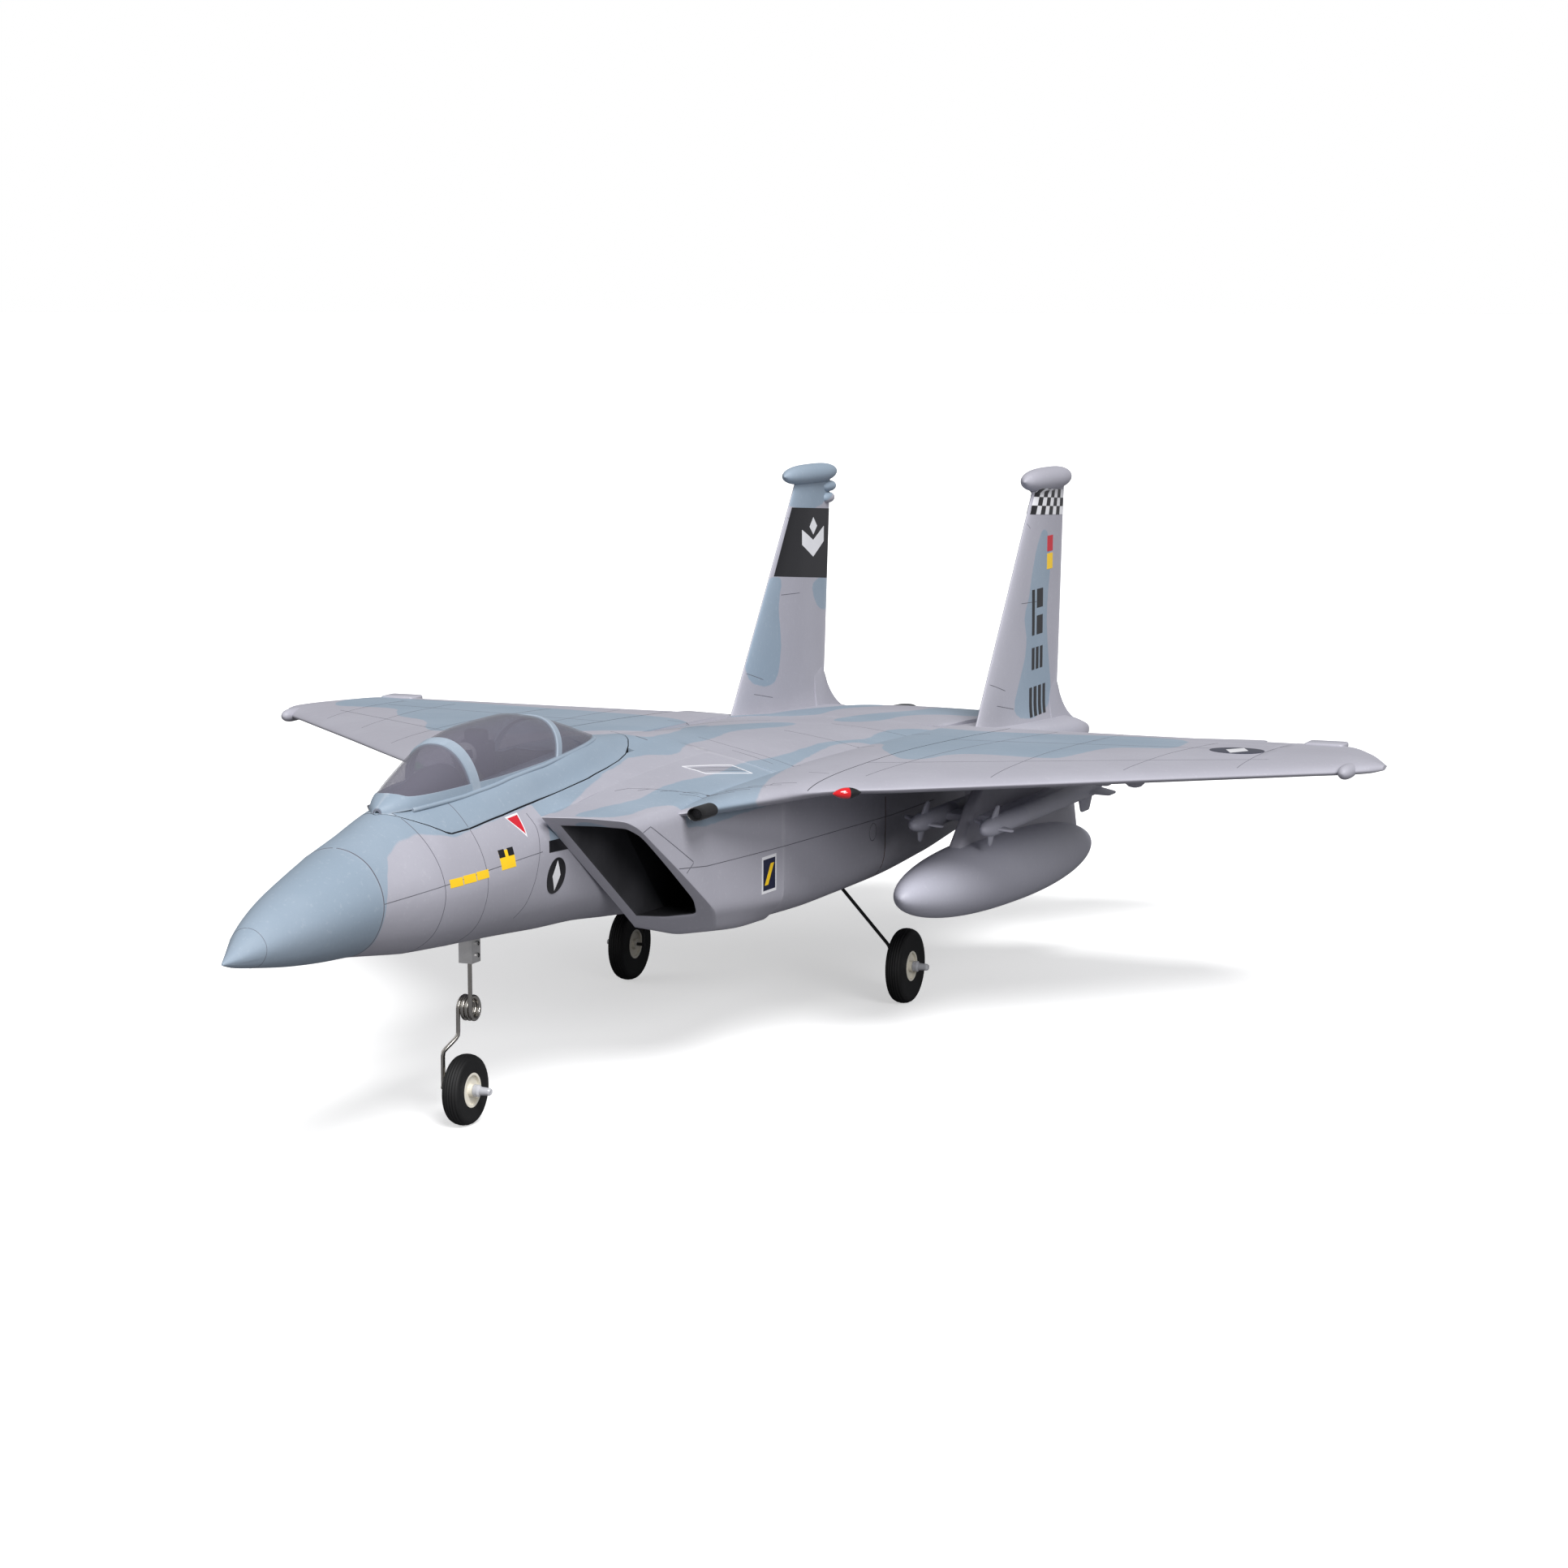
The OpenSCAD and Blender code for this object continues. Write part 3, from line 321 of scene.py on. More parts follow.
# ---------------------------------------------------------------- materials
class Mat:
    """Small helper around one node-based material."""

    def __init__(self, name, rough=0.5, metal=0.0, spec=0.5, color=(0.5, 0.5, 0.5), **kw):
        self.m = bpy.data.materials.new(name)
        self.m.use_nodes = True
        self.t = self.m.node_tree
        self.b = self.t.nodes["Principled BSDF"]
        self.set("Base Color", (*color, 1))
        self.set("Roughness", rough)
        self.set("Metallic", metal)
        self.set("Specular IOR Level", spec)
        for k, v in kw.items():
            self.set(k.replace("_", " "), v)
        self.co = self.t.nodes.new("ShaderNodeTexCoord").outputs["Object"]
        self.height = None

    def set(self, k, v):
        self.b.inputs[k].default_value = v

    def node(self, kind, **kw):
        n = self.t.nodes.new("ShaderNode" + kind)
        for k, v in kw.items():
            if k in n.inputs:
                self.feed(n.inputs[k], v)
            else:
                setattr(n, k, v)
        return n

    def feed(self, sock, v):
        if isinstance(v, bpy.types.NodeSocket):
            self.t.links.new(v, sock)
        else:
            sock.default_value = v

    def math(self, op, a, b=None, c=None, clamp=False):
        n = self.t.nodes.new("ShaderNodeMath")
        n.operation, n.use_clamp = op, clamp
        for i, v in enumerate((a, b, c)):
            if v is not None:
                self.feed(n.inputs[i], v)
        return n.outputs[0]

    def noise(self, scale, detail=4, rough=0.5, co=None, dist=0.0):
        n = self.t.nodes.new("ShaderNodeTexNoise")
        self.feed(n.inputs["Vector"], co or self.co)
        n.inputs["Scale"].default_value = scale
        n.inputs["Detail"].default_value = detail
        n.inputs["Roughness"].default_value = rough
        n.inputs["Distortion"].default_value = dist
        return n.outputs["Fac"]

    def cells(self, scale, feature="F1", out="Distance"):
        n = self.t.nodes.new("ShaderNodeTexVoronoi")
        n.feature = feature
        self.feed(n.inputs["Vector"], self.co)
        n.inputs["Scale"].default_value = scale
        return n.outputs[out]

    def ramp(self, fac, a, b):
        """Smooth 0..1 step of fac between a and b."""
        n = self.t.nodes.new("ShaderNodeMapRange")
        n.interpolation_type = "SMOOTHSTEP"
        self.feed(n.inputs["Value"], fac)
        n.inputs["From Min"].default_value = a
        n.inputs["From Max"].default_value = b
        return n.outputs["Result"]

    def span(self, fac, lo, hi):
        n = self.t.nodes.new("ShaderNodeMapRange")
        self.feed(n.inputs["Value"], fac)
        n.inputs["To Min"].default_value = lo
        n.inputs["To Max"].default_value = hi
        return n.outputs["Result"]

    def mix(self, fac, a, b, mode="MIX"):
        n = self.t.nodes.new("ShaderNodeMix")
        n.data_type, n.blend_type = "RGBA", mode
        self.feed(n.inputs["Factor"], fac)
        for s, v in ((6, a), (7, b)):
            if isinstance(v, tuple) and len(v) == 3:
                v = (*v, 1)
            self.feed(n.inputs[s], v)
        return n.outputs[2]

    def attr(self, name):
        n = self.t.nodes.new("ShaderNodeAttribute")
        n.attribute_name = name
        return n.outputs["Fac"]

    def color(self, v):
        self.feed(self.b.inputs["Base Color"], v)

    def rough(self, v):
        self.feed(self.b.inputs["Roughness"], v)

    def bump(self, h, dist=0.0002, strength=1.0):
        n = self.t.nodes.new("ShaderNodeBump")
        n.inputs["Distance"].default_value = dist
        n.inputs["Strength"].default_value = strength
        self.feed(n.inputs["Height"], h)
        self.t.links.new(n.outputs["Normal"], self.b.inputs["Normal"])


def lin(*rgb):
    return tuple((c / 255 / 12.92) if c / 255 <= 0.04045 else ((c / 255 + 0.055) / 1.055) ** 2.4 for c in rgb)


GREY, BLUE = lin(161, 160, 170), lin(136, 151, 166)


def paint(name, grey=GREY, blue=BLUE, camo=True, grain=1.0, spec=0.4):
    """Painted moulded foam: sprayed two-tone paint with soft edges over bead grain."""
    m = Mat(name, rough=0.5, spec=spec)
    cloud = m.noise(14, 5, 0.6)
    fine = m.noise(420, 3, 0.6)
    speck = m.noise(1900, 2, 0.5)
    if camo:
        edge = m.math("ADD", m.attr("camo"), m.math("MULTIPLY", m.math("SUBTRACT", m.noise(90, 3, 0.55), 0.5), 2.2))
        base = m.mix(m.ramp(edge, -0.55, 0.55), grey, blue)
    else:
        base = m.mix(m.span(cloud, 0, 0.5), grey, tuple(c * 0.96 for c in grey))
    base = m.mix(m.ramp(cloud, 0.38, 0.7), base, m.mix(0.04, base, (0.9, 0.92, 1.0)))
    base = m.mix(m.math("MULTIPLY", m.ramp(fine, 0.58, 0.72), 0.05), base, (1, 1, 1))
    base = m.mix(m.math("MULTIPLY", m.ramp(speck, 0.62, 0.75), 0.10), base, (0.06, 0.06, 0.07))
    # rubbed, slightly paler convex edges
    geo = m.t.nodes.new("ShaderNodeNewGeometry")
    worn = m.math("MULTIPLY", m.ramp(geo.outputs["Pointiness"], 0.53, 0.62), 0.16)
    base = m.mix(worn, base, (0.78, 0.78, 0.8))
    m.color(base)
    m.rough(m.span(m.noise(60, 4, 0.6), 0.42, 0.58))
    beads = m.cells(330, "SMOOTH_F1")
    h = m.math("ADD", m.math("MULTIPLY", beads, 0.35 * grain), m.math("MULTIPLY", speck, 0.22 * grain))
    m.bump(h, 0.00012, 0.75)
    return m.m


def plastic(name, col, rough=0.4, spec=0.5, var=0.1, grain=900, bump=0.00004, coat=0.0, **kw):
    m = Mat(name, rough=rough, spec=spec, color=col, Coat_Weight=coat, **kw)
    n = m.noise(35, 4, 0.6)
    g = m.noise(grain, 2, 0.5)
    m.color(m.mix(m.ramp(n, 0.3, 0.7), tuple(c * (1 - var) for c in col), tuple(min(1, c * (1 + var)) for c in col)))
    m.rough(m.span(n, rough * 0.85, min(1, rough * 1.2)))
    m.bump(g, bump, 0.6)
    return m.m


def metal(name, col, rough=0.25, brushed=False):
    m = Mat(name, rough=rough, metal=1.0, color=col)
    n = m.noise(160, 4, 0.6)
    s = m.noise(2600, 2, 0.5)
    m.color(m.mix(m.ramp(n, 0.3, 0.75), tuple(c * 0.86 for c in col), col))
    m.rough(m.span(m.math("ADD", m.math("MULTIPLY", n, 0.6), m.math("MULTIPLY", s, 0.4)), rough * 0.7, rough * 1.5))
    m.bump(s, 0.00002, 0.5)
    return m.m


M = {}
M["foam"] = paint("painted_foam")
M["foam_store"] = paint("store_foam", grey=lin(172, 172, 184), camo=False, grain=1.4)
# near-black lining for the ducts and for the faces of every cut cavity: painted shade standing in for the unlit depth
# inside them
M["duct"] = plastic("duct_painted_shade", lin(34, 34, 37), 0.62, 0.3, 0.25, 500, 0.0001)
# dark grey for the first rows inside each intake mouth: painted shade on the grey inner wall
M["duct_mouth"] = plastic("duct_mouth_painted_shade", lin(60, 60, 64), 0.6, 0.3, 0.2, 500, 0.0001)
M["black"] = plastic("black_plastic", lin(24, 24, 26), 0.38, 0.5, 0.2)
M["dark"] = plastic("dark_plastic", lin(50, 51, 55), 0.45, 0.45, 0.15)
M["rubber"] = plastic("tyre_rubber", lin(20, 20, 21), 0.62, 0.35, 0.3, 1400, 0.00005)
M["hub"] = plastic("hub_nylon", lin(226, 221, 208), 0.42, 0.5, 0.04, 700, 0.00003)
M["nylon"] = plastic("white_nylon", lin(232, 232, 230), 0.4, 0.5, 0.04)
M["clear"] = plastic("clear_nylon", lin(205, 206, 212), 0.22, 0.5, 0.05, Alpha=0.72)
M["steel"] = metal("steel_wire", lin(188, 184, 178), 0.2)
M["alloy"] = metal("block_aluminium", lin(232, 231, 230), 0.42)
M["motor"] = metal("motor_metal", lin(120, 122, 128), 0.3)
M["wire"] = plastic("black_wire", lin(20, 19, 19), 0.35, 0.5, 0.3)
M["servo"] = plastic("servo_case", lin(48, 92, 158), 0.32, 0.5, 0.08)
M["battery"] = plastic("battery_wrap", lin(52, 66, 132), 0.28, 0.5, 0.1, coat=0.3)
M["red"] = plastic("red_lens", lin(205, 16, 26), 0.14, 0.6, 0.06, coat=0.8)
M["green"] = plastic("green_lens", lin(18, 140, 62), 0.14, 0.6, 0.06, coat=0.8)
M["line"] = plastic("panel_line", lin(98, 98, 106), 0.7, 0.2, 0.2)
M["gap"] = plastic("shut_line", lin(28, 30, 36), 0.75, 0.15, 0.2)
M["decal_white"] = plastic("decal_white", lin(226, 226, 230), 0.3, 0.5, 0.03)
M["decal_black"] = plastic("decal_black", lin(22, 22, 26), 0.3, 0.5, 0.1)
M["decal_navy"] = plastic("decal_navy", lin(28, 32, 58), 0.3, 0.5, 0.1)
M["decal_red"] = plastic("decal_red", lin(196, 28, 44), 0.3, 0.5, 0.06)
M["decal_pink"] = plastic("decal_pink", lin(206, 178, 188), 0.4, 0.4, 0.04)
M["decal_yellow"] = plastic("decal_yellow", lin(246, 202, 30), 0.3, 0.5, 0.05)
M["brown"] = plastic("glue_brown", lin(88, 56, 44), 0.6, 0.3, 0.3)
M["suit"] = plastic("pilot_suit", lin(84, 90, 66), 0.7, 0.2, 0.25, 1200, 0.00012)
M["helmet"] = plastic("helmet_grey", lin(196, 196, 200), 0.25, 0.5, 0.04, coat=0.4)
M["visor"] = plastic("visor_dark", lin(22, 24, 30), 0.1, 0.6, 0.1, coat=0.8)
M["mask"] = plastic("mask_green", lin(70, 76, 72), 0.5, 0.3, 0.15)
M["tub"] = plastic("tub_dark", lin(66, 66, 72), 0.6, 0.3, 0.2)
g = Mat("canopy_tint", rough=0.06, spec=0.6, color=lin(118, 116, 130), Alpha=0.5, Coat_Weight=0.3)
g.color(g.mix(g.ramp(g.noise(6, 3, 0.5), 0.3, 0.7), lin(112, 110, 124), lin(124, 122, 136)))
g.rough(g.span(g.noise(40, 3, 0.5), 0.04, 0.1))
M["glass"] = g.m
w = Mat("plywood", rough=0.6, spec=0.3, color=lin(206, 172, 120))
wc = w.node("Mapping", Vector=w.co, Scale=(40, 4, 40)).outputs[0]
wn = w.noise(6, 5, 0.65, co=wc, dist=0.6)
w.color(w.mix(w.ramp(wn, 0.3, 0.7), lin(186, 148, 98), lin(216, 186, 138)))
w.bump(wn, 0.0001, 0.5)
M["ply"] = w.m
c = Mat("carbon", rough=0.32, spec=0.5, color=lin(30, 31, 34), Coat_Weight=0.4)
ck = c.t.nodes.new("ShaderNodeTexChecker")
c.feed(ck.inputs["Vector"], c.co)
ck.inputs["Scale"].default_value = 900
c.color(c.mix(ck.outputs["Fac"], lin(24, 25, 27), lin(44, 46, 50)))
M["carbon"] = c.m

for names, key in {
    "fan_housing fan_rotor": "black", "exhaust_duct speed_controller receiver main_gear_mounts nose_gear_mount": "dark",
    "fan_motor": "motor", "battery_tray": "ply", "battery_pack": "battery", "servos": "servo", "wing_spar_tube": "carbon",
    "hatch_magnets left_aileron_rod right_aileron_rod left_stabilator_rod right_stabilator_rod steering_rod": "steel",
    "nose_gear_block": "alloy", "nose_axle_cap main_axle_caps": "clear", "nose_hub left_hub right_hub": "hub",
    "left_aileron_arm right_aileron_arm left_stabilator_arm right_stabilator_arm steering_arm": "nylon",
}.items():
    for n in names.split():
        d = frame["nodes"][n].data
        d.materials.clear()
        d.materials.append(M[key])
        d.polygons.foreach_set("material_index", [0] * len(d.polygons))
        shade(frame["nodes"][n], 34)

# ---------------------------------------------------------------- fuselage
NOSE = [
    (0, [(0, .5), (.3, .4), (.5, .2), (.5, 0), (.5, -.2), (.3, -.4), (.15, -.45), (0, -.5)]),
    (8, [(0, 4.8), (2, 4.4), (3.5, 3.1), (4.2, 1.7), (4, .2), (2.8, -1.7), (1.5, -2.5), (0, -2.9)]),
    (25, [(0, 15), (4.8, 14), (8.7, 11), (11.1, 6.8), (11.1, 2.4), (8.2, -3), (4.4, -5.2), (0, -6)]),
    (50, [(0, 24.6), (7.4, 23.1), (13.6, 18.8), (17.8, 11.8), (17.9, 4.8), (13.6, -4.4), (7, -8.6), (0, -9.8)]),
    (75, [(0, 32), (9, 30.1), (16.4, 25), (22, 16), (22.4, 6.4), (17, -5), (8.8, -10.8), (0, -12.4)]),
    (97, [(0, 37.7), (10, 35.7), (18.5, 30), (24.8, 19), (25.4, 8), (19.5, -5), (10, -12), (0, -13.9)])]
FRONT = NOSE[-1:] + [
    (120, [(0, 43.8), (9.5, 41.6), (20, 34), (29, 21), (30.3, 9), (24, -6.5), (12.5, -15), (0, -17)]),
    (140, [(0, 49.2), (9, 47.2), (23, 36.5), (32, 22.5), (34.2, 9), (27.5, -8), (14.5, -17.5), (0, -19.6)]),
    (150, [(0, 50.4), (10.8, 48.2), (26, 36.5), (33.2, 23), (35.6, 9), (28.8, -8.8), (15.2, -18.3), (0, -20.4)]),
    (175, [(0, 52), (15, 50), (28, 37.5), (35.5, 24), (38, 9), (31, -10), (16.5, -20), (0, -22)]),
    (205, [(0, 53.5), (18.5, 52.5), (29.5, 39.5), (37, 25), (39, 9), (32.5, -11), (17.5, -21.8), (0, -24)]),
    (236, [(0, 55.5), (21, 54.8), (30, 41.5), (38.6, 31), (39.5, 9), (33.5, -12), (18.5, -24), (0, -26)]),
    (262, [(0, 57), (20.6, 56.3), (29.6, 43.1), (41, 38.4), (40.2, 8), (35, -13), (19.4, -26), (0, -27.7)]),
    (300, [(0, 59), (19.5, 58.2), (29, 45.5), (41, 41.7), (40.6, 4), (37, -14), (20, -28.2), (0, -30)]),
    (345, [(0, 59.8), (12, 58.6), (24, 49), (41, 44.2), (41, 0), (39.5, -18), (20, -33.2), (0, -34.5)]),
    (388, [(0, 56.8), (7, 55.8), (16, 52), (41, 45.2), (41, -4), (40, -24), (22, -38), (0, -36.4)]),
    (420, [(0, 54), (10, 52.9), (20, 50.6), (41, 45.6), (41, -8), (40, -30), (28, -42), (0, -37.5)])]
TOPX = (0, 10, 20, 41, 65, 83.4)
AFT = [(420, (54, 52.9, 50.6, 45.6, 40.6, 35), 85.4, -33, -45.5, -37.5), (480, (48.5, 47.8, 46.6, 43.3, 38.6, 32.8), 85.6, -36, -47.5, -41.5),
       (570, (40.5, 40.1, 39.4, 37.3, 33.8, 29.4), 85.8, -36, -47.5, -42), (640, (35, 34.8, 34.3, 33.2, 30.4, 27), 86, -33, -44.5, -41.5),
       (700, (30.5, 30.4, 30.2, 29.5, 28, 25.4), 86, -27, -39.5, -39)]
NA, NB, NC, ND, NE = 22, 8, 20, 18, 18


def part(curve, n):
    return resample(curve, n + 1)[:-1]


def front_half(pts, k):
    """k: 0 for a smooth oval section, 1 where the deck meets the intakes in a corner."""
    per = 12
    c = catmull(pts, per)
    straight = catmull(pts, per, lin=(2, 3))
    c = c + (straight - c) * k
    return np.vstack([part(c[:2 * per + 1], NA), part(c[2 * per:3 * per + 1], NB), part(c[3 * per:4 * per + 1], NC),
                      part(c[4 * per:5 * per + 1], ND), resample(c[5 * per:], NE)])


def aft_half(top, w, zs, zb, z0):
    t = catmull(list(zip(TOPX, top)), 10)
    edge = chaikin([t[-1], (w, top[-1] - 6), (w, -10), (w - 1.4, zs), (w - 12.5, zb), (32, zb + 1), (0, z0)], 3, closed=False)
    s = np.concatenate([[0], np.cumsum(np.linalg.norm(np.diff(edge, axis=0), axis=1))])
    k1, k2 = int(np.searchsorted(s, 22)), int(np.searchsorted(s, s[-1] - 60))
    return np.vstack([part(t[:21], NA), part(t[20:31], NB), part(np.vstack([t[30:], edge[1:k1 + 1]]), NC),
                      part(edge[k1:k2 + 1], ND), resample(edge[k2:], NE)])


def tail_half(y):
    ws = pchip([700, 760, 845], [[61.8, 27.5, 30.5, -27, -39.5, -39], [61.8, 24.6, 27.2, -22, -36.5, -36], [60, 18.8, 21.2, -14, -33, -31]], y)[0]
    w, ze, zt, zs, zb, z0 = ws
    top = catmull([(0, zt), (20, zt - .2), (45, zt - .9), (w, ze)], 10)
    edge = chaikin([top[-1], (w, zs), (w - 7, zb + 3), (31, zb - 1), (0, z0)], 3, closed=False)
    s = np.concatenate([[0], np.cumsum(np.linalg.norm(np.diff(edge, axis=0), axis=1))])
    k1, k2 = int(np.searchsorted(s, 14)), int(np.searchsorted(s, s[-1] - 52))
    n1 = int(round(41 / w * (NA + NB)))
    full = resample(top, 400)
    i2, i1 = np.searchsorted(full[:, 0], [20, 41])
    return np.vstack([part(full[:i2 + 1], NA), part(full[i2:i1 + 1], NB), part(np.vstack([full[i1:], edge[1:k1 + 1]]), NC),
                      part(edge[k1:k2 + 1], ND), resample(edge[k2:], NE)])


def ring_from_half(y, h):
    m = h[-2:0:-1] * [-1, 1]
    p = np.vstack([h, m])
    return np.column_stack([p[:, 0], np.full(len(p), y), p[:, 1]])


fy = [s[0] for s in FRONT]
fh = np.array([front_half(s[1], float(np.clip((s[0] - 236) / 30, 0, 1))) for s in FRONT])
ah = np.array([aft_half(*s[1:]) for s in AFT])
ay = [s[0] for s in AFT]


def half_at(y):
    if y <= 420:
        return pchip(fy, fh, y)[0]
    if y <= 700:
        return pchip(ay, ah, y)[0]
    return tail_half(y)


def top_z(x, y):
    """Height of the fuselage's upper surface."""
    h = half_at(y)[:NA + NB + NC]
    return float(np.interp(abs(x), h[:, 0], h[:, 1]))


ys = np.concatenate([np.arange(97, 250, 2.4), np.arange(250, 420, 3.4), [420, 420.05], np.arange(424, 700, 4.6), [700, 700.05], np.arange(706, 843, 6), [845]])
fus = loft("fuselage_shell", [ring_from_half(y, half_at(max(y, 420.01) if y == 420.05 else y)) for y in ys], [M["foam"], M["duct"], M["black"]])
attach(fus, "airframe")

s = np.array([0, .35, .8, 1.5, 2.4, 3.4, 4.4, 5.2, 6, 6.8, 7.4, 8, 8.5, 9, 9.4, 9.85])
ny = np.array([x[0] for x in NOSE]) ** .95
nh = np.array([front_half(x[1], 0) for x in NOSE])
nys = np.concatenate([np.linspace(0, 3, 14) ** 2, np.arange(10.5, 96, 2.6), [97]])
nose = loft("nose_cone_shell", [ring_from_half(y, pchip(ny, nh, y ** .95)[0]) for y in nys], [M["foam"]], slot="foam_blue")
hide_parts("nose_cone")

# ---------------------------------------------------------------- hatch
LINE = [(134.5, .2), (138, 7), (142, 12.5), (147, 18), (152, 22.5), (157, 26), (160, 27), (175, 28.3), (205, 29.6), (236, 30), (268, 29.7),
        (300, 29), (325, 26.8), (345, 24.2), (360, 20.8), (375, 15), (385, 10), (390, 5.6), (392.4, .2)]
SEAT = [(134, 40), (146, 36.2), (160, 35.6), (175, 36.6), (205, 38.6), (236, 40.6), (262, 42.2), (300, 44.6), (345, 47.6), (375, 49.4), (392.5, 50.4)]


def prism(grow, name, lift=0.0):
    y0, y1 = LINE[0][0] - grow, LINE[-1][0] + grow
    rings = []
    for y in np.concatenate([np.linspace(y0, 163, 22), np.linspace(166, 340, 40), np.linspace(344, y1, 20)]):
        w = float(np.interp(y, [p[0] for p in LINE], [p[1] for p in LINE])) + grow * (1.5 if y < 160 else 1.0)
        zs = float(pchip([p[0] for p in SEAT], [p[1] for p in SEAT], y)[0]) + lift
        rings.append([(-w, y, 120), (w, y, 120), (w, y, zs), (0, y, zs + 0.6), (-w, y, zs)])
    return loft(name, rings, [M["gap"]], body=None, weld=False)


hatch = fus.copy(); hatch.data = fus.data.copy(); hatch.name = "canopy_hatch_shell"; hatch.parent = None
scene.collection.objects.link(hatch)
boolean(hatch, prism(-0.4, "c1", 0.5), "INTERSECT")


# cut faces take the near-black duct lining by default, which is painted shade inside the cavities
def cutter(geo, mat="duct"):
    return make("cut", geo[0], geo[1], [M[mat]], body=None)


def crate(lo, hi):
    x0, y0, z0 = lo; x1, y1, z1 = hi
    return ([(x0, y0, z0), (x1, y0, z0), (x1, y1, z0), (x0, y1, z0), (x0, y0, z1), (x1, y0, z1), (x1, y1, z1), (x0, y1, z1)],
            [(0, 3, 2, 1), (4, 5, 6, 7), (0, 1, 5, 4), (1, 2, 6, 5), (2, 3, 7, 6), (3, 0, 4, 7)])


boolean(hatch, cutter(crate((-12.6, 171.9, 20), (12.6, 298.1, 100)), "tub"))
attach(hatch, "canopy_hatch"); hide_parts("canopy_frame")
boolean(fus, prism(0.12, "c2"))
boolean(fus, cutter(crate((-20, 200, -17), (20, 372, 90)), "foam"))
for sx in (-3.4, 3.4):
    boolean(fus, cutter(lathe_geo([(0.01, 46.9), (3.05, 46.9), (3.05, 60), (0.01, 60)], (sx, 379.4, 0), "z", 32)))
boolean(fus, cutter(crate((-11.1, 211.9, -30), (11.1, 236.1, -8))))
# inlet plenum, fan bore and forked exhaust
boolean(fus, cutter(loft_geo([[(-76, 418, -30), (76, 418, -30), (76, 418, 26), (-76, 418, 26)], [(-76, 469, -30), (76, 469, -30), (76, 469, 26), (-76, 469, 26)],
                              [(-34, 520, -33), (34, 520, -33), (34, 520, 28), (-34, 520, 28)]])))
boolean(fus, cutter(lathe_geo([(0.01, 519.5), (34.4, 519.5), (34.4, 577.5), (0.01, 577.5)], (0, 0, -3), "y", 72)))
for sx in (1, -1):
    rings = []
    for t in np.linspace(0, 1, 8):
        a = np.linspace(0, 2 * math.pi, 48, endpoint=False)
        r = 33.4 + (25.4 - 33.4) * t
        rings.append(np.stack([sx * 31 * t + r * np.cos(a), np.full(48, 576 + 271 * t), -3 - 5 * t + r * np.sin(a)], 1))
    boolean(fus, cutter(loft_geo(rings)))
shade(fus, 38)
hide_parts("forward_fuselage", "upper_fuselage", "lower_fuselage")

# ---------------------------------------------------------------- intakes
TR = [
    (214, [(40.4, 36.2), (58, 34.2), (72, 31.8), (75.6, 28), (75.6, -19), (69, -27), (56, -29), (41.2, -29)]),
    (262, [(40.4, 38.5), (58, 36.6), (74.4, 32.8), (77.4, 28), (77.2, -22), (71, -31.4), (56, -33.4), (41.2, -32)]),
    (300, [(40.4, 41.9), (58, 38.8), (76.4, 33.8), (80, 28.4), (80, -24), (74, -34.4), (56, -37), (41.2, -34)]),
    (345, [(40.4, 44.3), (58, 41), (79, 35.6), (82.4, 29.4), (82.2, -26), (75.4, -38.4), (56, -41.4), (40.6, -37)]),
    (385, [(40.4, 45.3), (58, 42), (80.6, 36.2), (84.4, 30), (83.8, -29.6), (75.4, -43), (56, -45.2), (41.2, -42)]),
    (420, [(40.4, 45.7), (58, 42.2), (81.6, 35.6), (85.3, 29), (85.2, -33), (73.4, -45.2), (56, -46.4), (41.8, -44)])]
DU = [
    (200, [(46, 29.4), (60, 28.6), (70, 27), (71.8, 23), (71.8, -16), (68.5, -23), (58, -24.5), (46, -24)]),
    (300, [(46, 33), (60, 31), (73, 28.4), (76, 23), (76, -18), (72, -26), (58, -28), (46, -27)]),
    (425, [(46, 26), (60, 26), (74, 25.8), (76, 22), (76, -18), (74, -29.8), (58, -30), (46, -30)])]
PER = (14, 14, 6, 20, 8, 10, 10, 22)


def trunk_ring(tab, y, r):
    p = pchip([t[0] for t in tab], np.array([t[1] for t in tab], float), y)[0]
    out = []
    n = len(p)
    for i in range(n):
        a, b = p[i], p[(i + 1) % n]
        for t in np.linspace(0, 1, PER[i], endpoint=False):
            out.append(a + (b - a) * t)
    q = np.array(out)
    keep = np.zeros(len(q), bool)
    keep[0] = keep[sum(PER[:7])] = True
    for _ in range(r):
        s2 = (np.roll(q, 1, 0) + 2 * q + np.roll(q, -1, 0)) / 4
        q = np.where(keep[:, None], q, s2)
    return q


def lip_y(x, z):
    return 253.6 + 0.615 * (x - 75) - 1.418 * (z - 32)


def raked(tab, t, r, end, push=0.0):
    y = np.full(sum(PER), 260.0)
    for _ in range(7):
        pts = np.array([trunk_ring(tab, yy, r)[i] for i, yy in enumerate(y)]) if _ > 4 else trunk_ring(tab, float(y.mean()), r)
        y = lip_y(pts[:, 0], pts[:, 1]) + push
    y = y + (end - y) * t
    pts = np.array([trunk_ring(tab, yy, r)[i] for i, yy in enumerate(y)])
    return np.column_stack([pts[:, 0], y, pts[:, 1]])


def shrink(ring, d, dy):
    c = ring.mean(0)
    v = ring - c
    v[:, 1] = 0
    L = np.linalg.norm(v, axis=1)[:, None]
    q = ring - v / L * d
    q[:, 1] += dy
    return q


ts = np.concatenate([[0.0, .01, .03], np.linspace(.06, 1, 26)])
outer = [raked(TR, t, 3, 420.0) for t in ts]
inner = [raked(DU, t, 3, 419.0) for t in ts]
lipo, lipi = outer[0], inner[0]
front = [lipo + (lipi - lipo) * f + [0, d, 0] for f, d in ((0.04, -.5), (.2, -.62), (.5, -.62), (.8, -.62), (.96, -.5))]
rings = outer[::-1] + front + inner
geo = loft_geo(rings, (True, True))
n_r = len(outer[0])
